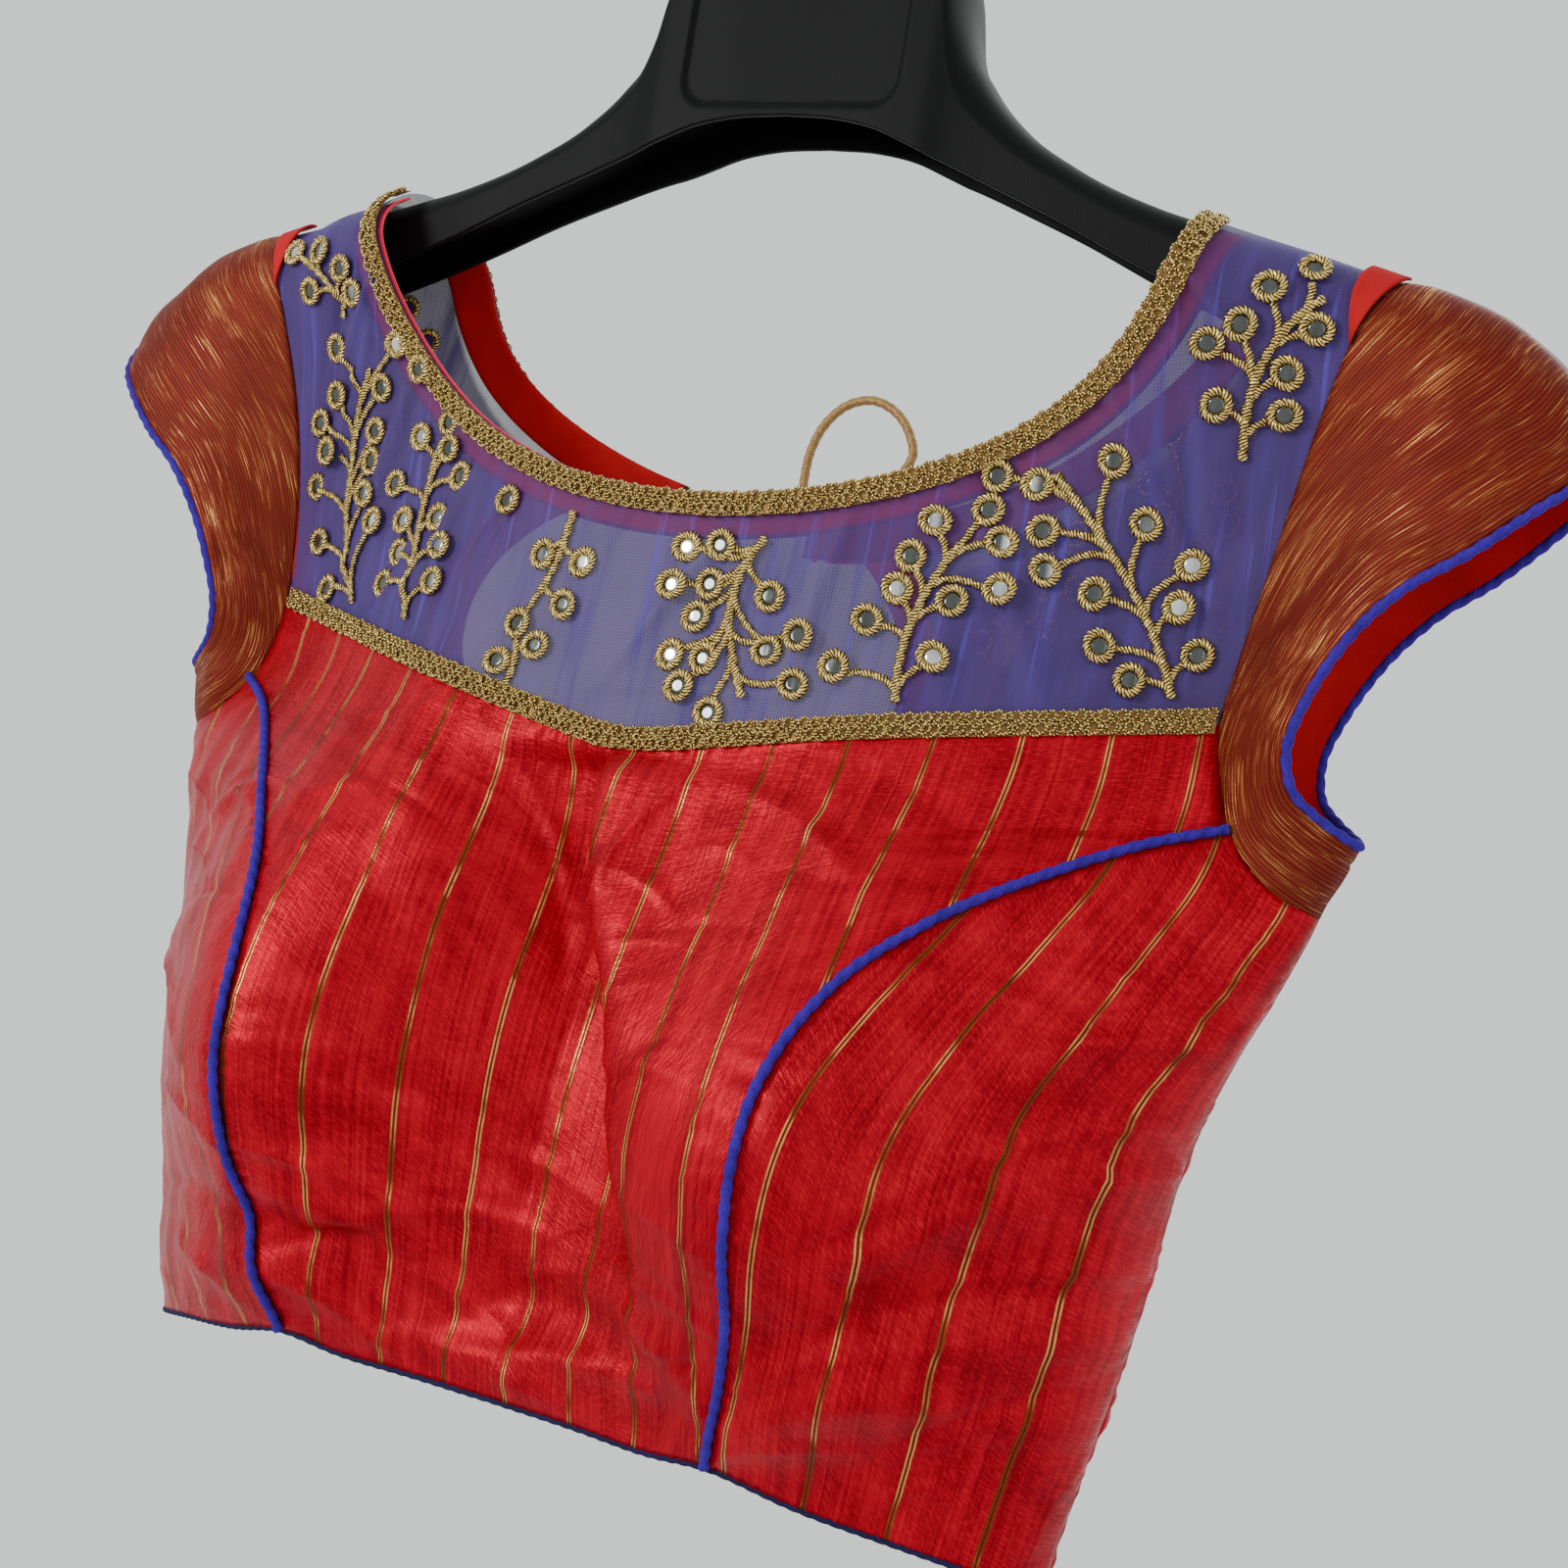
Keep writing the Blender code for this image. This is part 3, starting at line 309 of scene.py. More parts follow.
def read(table, columns, wanted, at):
    """Smooth reading of one named column of a table at values of its first column.

    Between two rows the value follows a cubic that has the table's own slope at each row.
    """
    rows = np.array(table)
    rows = rows[np.argsort(rows[:, 0])]
    keys = rows[:, 0]
    values = rows[:, columns.index(wanted)]
    slopes = np.gradient(values, keys)
    at = np.clip(np.asarray(at, float), keys[0], keys[-1])
    i = np.clip(np.searchsorted(keys, at) - 1, 0, len(keys) - 2)
    gap = keys[i + 1] - keys[i]
    t = (at - keys[i]) / gap
    start = (1.0 + 2.0 * t) * (1.0 - t) ** 2 * values[i] + t * (1.0 - t) ** 2 * gap * slopes[i]
    end = t * t * (3.0 - 2.0 * t) * values[i + 1] + t * t * (t - 1.0) * gap * slopes[i + 1]
    return start + end


def run_along(points):
    """Distance along a path at each of its points."""
    return np.concatenate([[0.0], np.cumsum(np.linalg.norm(np.diff(points, axis=0), axis=1))])


def close_ring(rows):
    """A grid or a path with its first row again at the end."""
    return np.concatenate([rows, rows[:1]])


def waves(run, length, phase=0.0):
    """A sine of a distance, with waves of that length."""
    return np.sin(2.0 * np.pi * run / length + phase)


def even_path(points, spacing):
    """The same smooth path with its points evenly spaced."""
    keys = run_along(points)
    at = np.linspace(0.0, keys[-1], max(int(keys[-1] / spacing), 4) + 1)
    table = np.column_stack([keys, points])
    return np.stack([read(table, "sxyz", axis, at) for axis in "xyz"], axis=1)


def cord_mesh(name, path, up, radius, strands=2, lay=0.004, depth=0.18, sides=12, flat=1.0, closed=False):
    """A twisted cord along a path.

    Its radius is radius x (1 + depth x the cosine of strands x the angle round it, less a full
    turn for each lay along it), so ridges wind round it. up gives the path's upward side, and
    flat squeezes the section that way.
    """
    along = unit(np.roll(path, -1, 0) - np.roll(path, 1, 0) if closed else np.gradient(path, axis=0))
    aside = unit(np.cross(along, up))
    rise = np.cross(aside, along)
    turn = np.linspace(0.0, 2.0 * np.pi, sides + 1)
    run = run_along(path)
    if closed:
        lay = run[-1] / np.round(run[-1] / lay)
    size = radius * (1.0 + depth * np.cos(strands * turn[None, :] - 2.0 * np.pi * run[:, None] / lay))
    across = (size * np.cos(turn))[..., None]
    high = (flat * size * np.sin(turn))[..., None]
    grid = path[:, None, :] + across * aside[:, None, :] + high * rise[:, None, :]
    uv = np.stack(np.broadcast_arrays(run[:, None], radius * turn[None, :]), axis=-1)
    out = (grid - path[:, None, :])[:, :-1]
    if closed:
        grid = close_ring(grid)
        uv = np.concatenate([uv, uv[:1] + [run[-1], 0.0]])
        out = close_ring(out)
    return grid_mesh(name, grid[:, :-1], uv, True, out, not closed)


gold_wrap = Finish("gold_wrap", metallic=0.55, roughness=0.5)
wrap_turns = (gold_wrap.place.axis("X") * 9000.0 + gold_wrap.place.axis("Y") * 2400.0).wave()
# The wrap's colour is random tone from a noise, and darker in the grooves between the turns: painted shade.
wrap_tone_and_shade = gold_wrap.place.noise(900.0, 300.0, 3.0) * 0.7 + wrap_turns * 0.30 - 0.05
gold_wrap.feed("Base Color", wrap_tone_and_shade.mix((0.13, 0.055, 0.015), (0.72, 0.46, 0.17)))
gold_wrap.bump(wrap_turns, 0.00015, 0.6)
loop_path = even_path(np.array(LOOP_POINTS) + SHOULDER_DROP, 0.0004)
loop_mesh = cord_mesh("loop_cord", loop_path, TO_BACK, 0.5 * LOOP_DIAMETER, strands=3, lay=0.0035,
                      depth=0.05, sides=16)
loop_cord = add_piece("loop_cord", loop_mesh, [gold_wrap], ["dori_loop"])

# Hanger
# One moulding of black plastic: a block with a sunk panel and two arms that widen where they leave
# it. It is open along the underside, with a thin wall at the front and at the back.
HANGER_COLUMNS = ("x", "low", "top", "half_depth")
HANGER = (
    (0.0, 0.024, 0.08, 0.017), (0.018, 0.023, 0.08, 0.017), (0.032, 0.02, 0.08, 0.017),
    (0.04, 0.0168, 0.079, 0.0169), (0.046, 0.0143, 0.0745, 0.0166), (0.049, 0.013, 0.06, 0.016),
    (0.053, 0.0115, 0.0485, 0.0152), (0.06, 0.0088, 0.038, 0.0144), (0.073, 0.0035, 0.025, 0.0136),
    (0.09, -0.0035, 0.0145, 0.013), (0.117, -0.016, 0.0034, 0.0125), (0.134, -0.0232, -0.0013, 0.0123),
    (0.16, -0.033, -0.0083, 0.0121), (0.184, -0.04, -0.0148, 0.0118), (0.194, -0.042, -0.0195, 0.0112),
    (0.205, -0.044, -0.0236, 0.01), (0.214, -0.044, -0.0276, 0.0086), (0.2195, -0.042, -0.0315, 0.0062),
    (0.2215, -0.04, -0.0345, 0.0045))
PANEL = {"half_width": 0.037, "low": 0.0265, "high": 0.073, "radius": 0.009, "depth": 0.0012,
         "slope": 0.0012}
CROWN = 0.0150
CHANNEL = 0.0110
WALL = 0.0022
EDGE = 0.0006
BLOCK_REACH = 0.060
ARM_REACH = 0.2215


def ease(t):
    """0 to 1 with a soft start and end: 3 t squared less 2 t cubed."""
    t = np.clip(t, 0.0, 1.0)
    return t * t * (3.0 - 2.0 * t)


def hanger_grid():
    """The hanger's skin: a closed section at each station along it.

    The section goes up the front wall, over a rounded top, down the back wall and into the
    channel. The front wall sinks by the panel's depth where a rounded box says it is inside it.
    """
    x = np.concatenate([np.linspace(-ARM_REACH, -BLOCK_REACH - 0.002, 66),
                        np.linspace(-BLOCK_REACH, BLOCK_REACH, 141),
                        np.linspace(BLOCK_REACH + 0.002, ARM_REACH, 66)])
    low, top, half = (read(HANGER, HANGER_COLUMNS, column, np.abs(x))[:, None]
                      for column in HANGER_COLUMNS[1:])
    crown = np.minimum(CROWN, 0.45 * (top - low))
    channel = np.minimum(CHANNEL, 0.34 * (top - low))
    lip = np.minimum(WALL, 0.3 * half)
    up = np.linspace(0.0, 1.0, 40)[None, :]
    wall = low + EDGE + up * (top - crown - low - EDGE)
    turn = np.linspace(np.pi, 0.0, 19)[None, 1:-1]
    bend = np.linspace(0.0, 0.5 * np.pi, 5)[None, 1:-1]
    near = EDGE * (1.0 - np.cos(bend))
    far = EDGE * (1.0 - np.sin(bend))
    level = np.ones_like(up)
    climb = np.linspace(0.0, 1.0, 4)[None, :] * (channel - EDGE)
    y_parts = [-half * level, half * np.cos(turn), half * level[:, ::4], half - near, half - lip + far,
               (half - lip) * level[:, :4], -(half - lip) * level[:, :4], -half + lip - near, -half + far]
    z_parts = [wall, top - crown + crown * np.sin(turn), wall[:, ::-4], low + far, low + near,
               low + EDGE + climb, low + channel - climb, low + far, low + near]
    y, z = (np.concatenate([np.broadcast_to(part, (len(x), part.shape[1])) for part in parts], axis=1)
            for parts in (y_parts, z_parts))
    radius = PANEL["radius"]
    middle = 0.5 * (PANEL["low"] + PANEL["high"])
    over_x = np.maximum(np.abs(x)[:, None] - PANEL["half_width"] + radius, 0.0)
    over_z = np.maximum(np.abs(z - middle) - 0.5 * (PANEL["high"] - PANEL["low"]) + radius, 0.0)
    inside = ease((radius - np.hypot(over_x, over_z)) / PANEL["slope"])
    y[:, :up.size] += PANEL["depth"] * inside[:, :up.size]
    return np.stack([np.broadcast_to(x[:, None], y.shape), y, z], axis=-1)


black_plastic = Finish("black_plastic", "object", specular_ior_level=0.09)
moulding_grain = black_plastic.place.noise(1500.0, 1500.0, 3.0)
moulding_cloud = black_plastic.place.noise(30.0, 30.0, 3.0)
black_plastic.feed("Base Color", moulding_cloud.mix((0.0016, 0.0016, 0.0017),
                                                    (0.0042, 0.0042, 0.0044)))
black_plastic.feed("Roughness", 0.42 + 0.18 * moulding_cloud)
black_plastic.bump(moulding_grain, 0.00012, 0.35)
skin = hanger_grid() + SHOULDER_DROP
skin_out = skin - skin.mean(axis=1, keepdims=True)
hanger = add_piece("hanger", grid_mesh("hanger", skin, None, True, skin_out, True), [black_plastic],
                   ["hanger_body"])
hanger.data.set_sharp_from_angle(angle=0.9)

# Hook
# Plated steel wire, bent round and let into the block. It is above the photograph's edge.
HOOK_RADIUS = 0.0022
HOOK_BEND = 0.0222
HOOK_FOOT = 0.0803
HOOK_STEM = 0.0137


def bent_line(points, count):
    """A curve with one bend: a quadratic one through its foot and its tip, drawn towards the bend."""
    t = np.linspace(0.0, 1.0, count)[:, None]
    foot, bend, tip = np.asarray(points, float)
    return (1.0 - t) ** 2 * foot + 2.0 * t * (1.0 - t) * bend + t ** 2 * tip


angle = np.radians(np.linspace(-62.0, 205.0, 90))
hook_bend = np.stack([HOOK_BEND * np.cos(angle), 0.0 * angle,
                      HOOK_RADIUS - HOOK_BEND + HOOK_BEND * np.sin(angle)], axis=1)
foot = HOOK_FOOT * UPRIGHT + SHOULDER_DROP
hook_stem = bent_line([foot, foot + HOOK_STEM * UPRIGHT, hook_bend[0]], 30)[:-1]
hook_path = even_path(np.concatenate([hook_stem, hook_bend]), 0.0015)
plated_steel = Finish("plated_steel", "object", metallic=1.0, base_color=(0.62, 0.62, 0.63))
plated_steel.feed("Roughness", 0.16 + 0.16 * plated_steel.place.noise(60.0, 60.0, 3.0))
add_piece("hook", cord_mesh("hook", hook_path, TO_BACK, HOOK_RADIUS, depth=0.0, sides=20),
          [plated_steel], ["hanger_hook"])

# Silk body
# Five panels of raw silk, woven red with a pair of fine gold lines about every two centimetres and
# backed with red cotton. The front is cut with a curved seam over each cup, and hangs without a
# wearer, so the cups stand out by their cut and the cloth folds over beside the centre.
SIDES = ((1, "l"), (-1, "r"))
CLOTH = 0.0012
SHOULDER_FALL = 0.27
SHOULDER_ROUND = 0.025
SHOULDER_WRAP = 0.018
NECK_HALF_WIDTH = 0.134
CHEST_HALF_WIDTH = 0.193
HEM_HALF_WIDTH = 0.151
PRINCESS_HEM_X = 0.072
UNDERARM_Z = -0.186
YOKE_HALF_WIDTH = 0.160
KEYHOLE = {"x": -0.036, "z": -0.1388, "half_width": 0.0771, "half_height": 0.0581}
YOKE_TURN = 0.665
PRINCESS_TURN = 0.825
FRONT_NECK_DROP = 0.0946
BACK_NECK_DROP = 0.0860
CUP = {"x": 0.085, "z": -0.268, "inner": 0.036, "outer": 0.044, "above": 0.058, "below": 0.050,
       "height": 0.050}
FOLD_WIDTH = 0.0035
FOLD_REACH = 0.030
FOLD_BOTTOM = -0.345
FOLD_TOP = -0.169
YOKE_POINT_Z = -0.169
YOKE_RISE = 0.030
YOKE_ROUND = 0.012
HEM_Z = -0.3565
ARM_SHARE = 0.13
LINE_PITCH = 0.0215

SECTION_COLUMNS = ("z", "half_width", "mid_y", "front_depth", "back_depth")
SECTIONS = (
    (-0.39, 0.15, -0.0152, 0.044, 0.048),
    (-0.363, 0.1535, -0.0146, 0.045, 0.048),
    (-0.34, 0.1575, -0.0135, 0.0455, 0.048),
    (-0.315, 0.162, -0.0115, 0.0465, 0.047),
    (-0.29, 0.1655, -0.01, 0.048, 0.047),
    (-0.25, 0.171, -0.008, 0.049, 0.048),
    (-0.226, 0.1785, -0.006, 0.049, 0.0495),
    (-0.203, 0.1875, -0.0045, 0.048, 0.051),
    (-0.186, 0.193, -0.0035, 0.047, 0.0525),
    (-0.14, 0.193, -0.0012, 0.045, 0.0505),
    (-0.095, 0.193, 0.0, 0.0428, 0.048),
    (0.04, 0.193, 0.0, 0.0428, 0.044))
PRINCESS_COLUMNS = ("step", "x", "z")
PRINCESS = (
    (0.0, 0.168, -0.167), (0.12, 0.1485, -0.1755), (0.24, 0.1275, -0.189), (0.36, 0.109, -0.204),
    (0.46, 0.095, -0.2205), (0.58, 0.085, -0.247), (0.72, 0.0825, -0.287), (0.85, 0.0805, -0.315),
    (1.0, 0.072, -0.3548))
SLEEVE_COLUMNS = ("turn", "seam_x", "seam_z", "hem_x", "hem_z")
SLEEVE = (
    (0.0, 0.19, -0.0151, 0.245, -0.055),
    (0.1, 0.1835, -0.027, 0.242, -0.066),
    (0.2, 0.178, -0.043, 0.234, -0.0745),
    (0.32, 0.172, -0.066, 0.22, -0.0875),
    (0.45, 0.166, -0.096, 0.2045, -0.0995),
    (0.57, 0.1612, -0.126, 0.1925, -0.1145),
    (0.665, 0.16, -0.139, 0.185, -0.1295),
    (0.75, 0.1625, -0.153, 0.1812, -0.143),
    (0.825, 0.168, -0.167, 0.183, -0.1535),
    (0.92, 0.181, -0.1805, 0.1905, -0.161),
    (1.0, 0.193, -0.186, 0.2, -0.1665))
FOLD_COLUMNS = ("z", "x", "step")
CENTRE_FOLD = (
    (-0.345, 0.053, 0.0), (-0.318, 0.048, 0.002), (-0.3, 0.044, 0.006), (-0.28, 0.037, 0.011),
    (-0.26, 0.03, 0.014), (-0.245, 0.024, 0.015), (-0.225, 0.012, 0.015), (-0.202, 0.001, 0.013),
    (-0.188, -0.003, 0.01), (-0.176, -0.003, 0.006), (-0.168, -0.002, 0.0))
BAR_COLUMNS = ("x", "z", "turn", "length", "width", "height")
FRONT_FOLDS = (
    (-0.095, -0.342, 12, 0.05, 0.012, 0.006),
    (-0.06, -0.322, -8, 0.045, 0.009, -0.0035),
    (0.03, -0.34, 20, 0.045, 0.011, 0.004),
    (0.105, -0.33, 32, 0.045, 0.011, 0.0045),
    (0.125, -0.292, 25, 0.035, 0.01, -0.003),
    (0.145, -0.235, -35, 0.035, 0.01, 0.003),
    (-0.14, -0.25, 40, 0.035, 0.01, 0.003),
    (-0.05, -0.205, -62, 0.04, 0.01, 0.003))
BACK_FOLDS = (
    (-0.08, -0.33, 14, 0.05, 0.012, 0.004),
    (0.07, -0.325, -18, 0.05, 0.012, 0.004),
    (0.11, -0.27, 28, 0.045, 0.011, 0.003),
    (-0.11, -0.262, -30, 0.045, 0.011, 0.003))

# Sharp creases laid over the soft folds, with the same columns
FRONT_CREASES = (
    (-0.066, -0.268, 8, 0.034, 0.0022, 0.0016), (-0.034, -0.276, -5, 0.03, 0.0026, -0.0014),
    (-0.055, -0.302, -12, 0.028, 0.0024, 0.0022), (-0.03, -0.309, 10, 0.034, 0.003, 0.002),
    (-0.062, -0.324, 24, 0.022, 0.002, -0.0015), (-0.018, -0.331, -16, 0.03, 0.0022, 0.0014),
    (0.004, -0.29, -9, 0.026, 0.0022, 0.0012), (-0.055, -0.341, -20, 0.026, 0.0026, 0.0018),
    (0.018, -0.316, 14, 0.022, 0.0018, 0.0012), (0.052, -0.309, -6, 0.024, 0.0022, 0.0015),
    (0.03, -0.338, 5, 0.036, 0.0026, 0.0016), (0.058, -0.329, 18, 0.018, 0.0018, -0.0012),
    (-0.02, -0.196, -58, 0.024, 0.0024, 0.0012), (-0.012, -0.216, -66, 0.03, 0.003, -0.0014),
    (0.014, -0.196, 68, 0.02, 0.0024, 0.0012), (-0.046, -0.222, 4, 0.02, 0.002, 0.0008),
    (0.074, -0.187, -26, 0.034, 0.003, 0.0016), (0.098, -0.172, -20, 0.03, 0.0024, -0.0012),
    (0.044, -0.252, 6, 0.022, 0.002, 0.0009), (0.058, -0.288, -14, 0.02, 0.0018, 0.001),
    (0.122, -0.216, -8, 0.026, 0.0026, 0.0016), (0.15, -0.208, -14, 0.026, 0.0024, -0.0014),
    (0.154, -0.226, 10, 0.022, 0.0022, 0.0014), (0.138, -0.256, 28, 0.03, 0.0028, 0.0016),
    (0.112, -0.281, 34, 0.03, 0.0026, -0.0014), (0.142, -0.289, 14, 0.024, 0.0024, 0.0014),
    (0.108, -0.315, 22, 0.034, 0.003, 0.0018), (0.134, -0.327, 30, 0.026, 0.0024, -0.0012),
    (0.096, -0.343, 12, 0.024, 0.002, 0.0012), (0.166, -0.2, -34, 0.018, 0.002, 0.0012),
    (-0.132, -0.205, 30, 0.022, 0.0022, 0.0014), (-0.118, -0.232, 12, 0.024, 0.0024, -0.0014),
    (-0.134, -0.262, -20, 0.026, 0.0026, 0.0016), (-0.112, -0.292, -8, 0.022, 0.0024, 0.0014),
    (-0.122, -0.322, 16, 0.026, 0.0026, -0.0014), (-0.104, -0.342, -12, 0.022, 0.0022, 0.0012),
    (0.142, -0.234, 42, 0.032, 0.007, 0.0026), (0.122, -0.3, 30, 0.04, 0.008, -0.0032),
    (0.13, -0.272, 34, 0.036, 0.007, 0.0028), (0.1, -0.329, 24, 0.036, 0.0075, 0.0028),
    (0.096, -0.246, 58, 0.028, 0.007, 0.0018), (-0.052, -0.314, -10, 0.04, 0.007, 0.003),
    (0.008, -0.326, 12, 0.036, 0.0075, -0.0028), (-0.022, -0.346, 5, 0.04, 0.006, 0.0024),
    (0.046, -0.32, -14, 0.03, 0.006, 0.0026), (-0.044, -0.29, 14, 0.034, 0.007, -0.0022))
BACK_CREASES = (
    (-0.03, -0.25, 8, 0.034, 0.0026, 0.0014), (0.034, -0.262, -10, 0.034, 0.0026, 0.0014),
    (-0.062, -0.288, -14, 0.03, 0.0026, -0.0014), (0.076, -0.24, -24, 0.034, 0.0028, 0.0014),
    (0.112, -0.222, -32, 0.03, 0.0026, -0.0012), (-0.118, -0.226, 30, 0.03, 0.0026, 0.0014),
    (0.02, -0.318, 6, 0.04, 0.003, 0.0018), (-0.044, -0.334, -6, 0.036, 0.0028, 0.0016),
    (0.092, -0.306, 16, 0.032, 0.0026, 0.0014), (-0.106, -0.312, -18, 0.032, 0.0028, -0.0014),
    (0.13, -0.338, 24, 0.026, 0.0024, 0.0014), (-0.134, -0.342, 12, 0.024, 0.0024, 0.0012),
    (0.06, -0.2, -44, 0.026, 0.0026, 0.0012), (0.148, -0.262, 20, 0.024, 0.0024, 0.0012))


def cups(x, z):
    """How far the cups stand out: their height times a bell across each cup and a bell down it."""
    side = np.abs(x) - CUP["x"]
    up = z - CUP["z"]
    across = np.where(side < 0.0, side / CUP["inner"], side / CUP["outer"])
    along = np.where(up > 0.0, up / CUP["above"], up / CUP["below"])
    return CUP["height"] * np.exp(-0.5 * (across ** 2 + along ** 2))


def centre_fold(x, z):
    """The step beside the centre: it rises across the fold's line, and fades on both sides of it."""
    away = x - read(CENTRE_FOLD, FOLD_COLUMNS, "x", z)
    height = read(CENTRE_FOLD, FOLD_COLUMNS, "step", z)
    height = height * ease((z - FOLD_BOTTOM) / 0.02) * ease((FOLD_TOP - z) / 0.01)
    return height * away / np.sqrt(away ** 2 + FOLD_WIDTH ** 2) * np.exp(-(away / FOLD_REACH) ** 2)


def bars(x, z, table, sharp=False):
    """Ridges and troughs laid at an angle: a bell along each times a bell or a peak across it."""
    total = np.zeros_like(x)
    for row in table:
        bar = dict(zip(BAR_COLUMNS, row))
        turn = np.radians(bar["turn"])
        along = ((x - bar["x"]) * np.cos(turn) + (z - bar["z"]) * np.sin(turn)) / bar["length"]
        across = ((z - bar["z"]) * np.cos(turn) - (x - bar["x"]) * np.sin(turn)) / bar["width"]
        if sharp:
            across = across + 1.6 * along ** 2
            peak = 1.5 / (1.0 + across ** 2) - 0.5 / (1.0 + (across / 3.0) ** 2)
            total += bar["height"] * np.exp(-along ** 2) * peak
        else:
            total += bar["height"] * np.exp(-along ** 2 - across ** 2)
    return total


def shell(s, q, face):
    """Points of the cloth's middle surface.

    s goes from -1 at the right side seam to 1 at the left one. q is 0 on the shoulder line, a
    quarter turn where the cloth has rounded over the hanger, and then runs straight down. x is
    the half width times the sine of s, and y is the depth, which falls off as a cosine of s.
    """
    sine = np.sin(0.5 * np.pi * s)
    cosine = np.cos(0.5 * np.pi * s)
    drop = np.where(q < 0.5 * np.pi, 1.0 - np.cos(q), 1.0 + q - 0.5 * np.pi) * SHOULDER_ROUND
    over = np.where(q < 0.5 * np.pi, np.sin(q), 1.0)
    z = -SHOULDER_FALL * (np.abs(CHEST_HALF_WIDTH * sine) - NECK_HALF_WIDTH) - drop
    x = read(SECTIONS, SECTION_COLUMNS, "half_width", z) * sine
    flat = ease((z + 0.205) / 0.05)
    bow = cosine * (1.0 - flat + flat * np.abs(cosine) ** 2.1)
    wrap = SHOULDER_WRAP * np.exp(-(drop / 0.060) ** 2) * ease((np.abs(x) - 0.085) / 0.05)
    depth = read(SECTIONS, SECTION_COLUMNS, "front_depth" if face < 0 else "back_depth", z) * bow + wrap
    edge = ease(np.abs(cosine) / 0.35) * np.sign(cosine)
    if face < 0:
        depth = depth + edge * (cups(x, z) + centre_fold(x, z) + bars(x, z, FRONT_FOLDS))
    else:
        depth = depth + edge * bars(x, z, BACK_FOLDS)
    y = read(SECTIONS, SECTION_COLUMNS, "mid_y", z) + face * over * depth
    return np.stack([x, y, z], axis=-1)


def place(x, z):
    """The shell's s and q for places given by x and z, by turning its formula round."""
    x = np.asarray(x, float)
    z = np.asarray(z, float)
    half_width = read(SECTIONS, SECTION_COLUMNS, "half_width", z)
    sine = np.clip(x / half_width, -1.0, 1.0)
    drop = -SHOULDER_FALL * (np.abs(CHEST_HALF_WIDTH * sine) - NECK_HALF_WIDTH) - z
    drop = np.maximum(drop, 0.0) / SHOULDER_ROUND
    q = np.where(drop < 1.0, np.arccos(np.clip(1.0 - drop, -1.0, 1.0)), drop - 1.0 + 0.5 * np.pi)
    return np.arcsin(sine) / (0.5 * np.pi), q


def shell_frame(s, q, face):
    """Points of the shell and the outward normals there, from small steps along and down it."""
    tiny = 1e-4
    along = shell(s + tiny, q, face) - shell(s - tiny, q, face)
    down = shell(s, q + tiny, face) - shell(s, q - tiny, face)
    return shell(s, q, face), unit(face * np.cross(along, down))


def raised(points, normals, height):
    """Places on the shell lifted along their normals by a height, and hung on the hanger."""
    return points + np.asarray(height)[..., None] * normals + SHOULDER_DROP


def four_sided(top, bottom, left, right, across, down):
    """A panel's grid of s and q between its four edges: opposite edges blended, less the corners."""
    top = np.stack(place(*top), axis=-1)[:, None, :]
    bottom = np.stack(place(*bottom), axis=-1)[:, None, :]
    u = across[:, None, None]
    v = np.broadcast_to(down, (len(across), down.shape[-1]))[..., None]
    first = np.stack(place(*left(v[..., 0])), axis=-1) - ((1.0 - v) * top[:1] + v * bottom[:1])
    last = np.stack(place(*right(v[..., 0])), axis=-1) - ((1.0 - v) * top[-1:] + v * bottom[-1:])
    grid = (1.0 - v) * top + v * bottom + (1.0 - u) * first + u * last
    return grid[..., 0], grid[..., 1]


def armhole(turn, side):
    """The armhole's outline, from the shoulder line to the underarm."""
    x = read(SLEEVE, SLEEVE_COLUMNS, "seam_x", turn)
    return side * x, read(SLEEVE, SLEEVE_COLUMNS, "seam_z", turn)


def yoke_seam(x):
    """Height of the seam between the net yoke and the silk: a shallow V with a rounded point."""
    away = np.sqrt(x ** 2 + YOKE_ROUND ** 2) - YOKE_ROUND
    return YOKE_POINT_Z + YOKE_RISE * (away / (YOKE_HALF_WIDTH - YOKE_ROUND)) ** 0.97


def hem_line(x):
    """Height of the hem: lower at the sides, lifted a little at the curved seams."""
    lift = 0.0035 * np.exp(-((np.abs(x) - 0.073) / 0.016) ** 2)
    return HEM_Z + lift - 0.0165 * (np.abs(x) / HEM_HALF_WIDTH) ** 3


def princess(step, side):
    """The curved front seam, from the armhole to the hem."""
    x = read(PRINCESS, PRINCESS_COLUMNS, "x", step)
    return side * x, read(PRINCESS, PRINCESS_COLUMNS, "z", step)


def keyhole_edge(angle, side, out=0.0):
    """The back opening's outline, an ellipse: angle is 0 at its top and half a turn at its bottom."""
    x = KEYHOLE["x"] + side * (KEYHOLE["half_width"] + out) * np.sin(angle)
    return x, KEYHOLE["z"] + (KEYHOLE["half_height"] + out) * np.cos(angle)


def keyhole_angles(side):
    """Where the back opening's outline meets the neck and the yoke seam, and the neck's angle there."""
    angles = np.linspace(0.05, 3.0, 600)
    x, z = keyhole_edge(angles, side)
    neck_z = -BACK_NECK_DROP * np.sqrt(np.clip(1.0 - (x / NECK_HALF_WIDTH) ** 2, 0.0, 1.0))
    tip = angles[np.argmax(z < neck_z)]
    neck_end = np.arccos(side * keyhole_edge(tip, side)[0] / NECK_HALF_WIDTH)
    return tip, angles[np.argmax(z < yoke_seam(x))], neck_end


def side_seam(v, side):
    """The side seam, from the underarm to the hem."""
    z = UNDERARM_Z + v * (hem_line(HEM_HALF_WIDTH) - UNDERARM_Z)
    return side * read(SECTIONS, SECTION_COLUMNS, "half_width", z), z


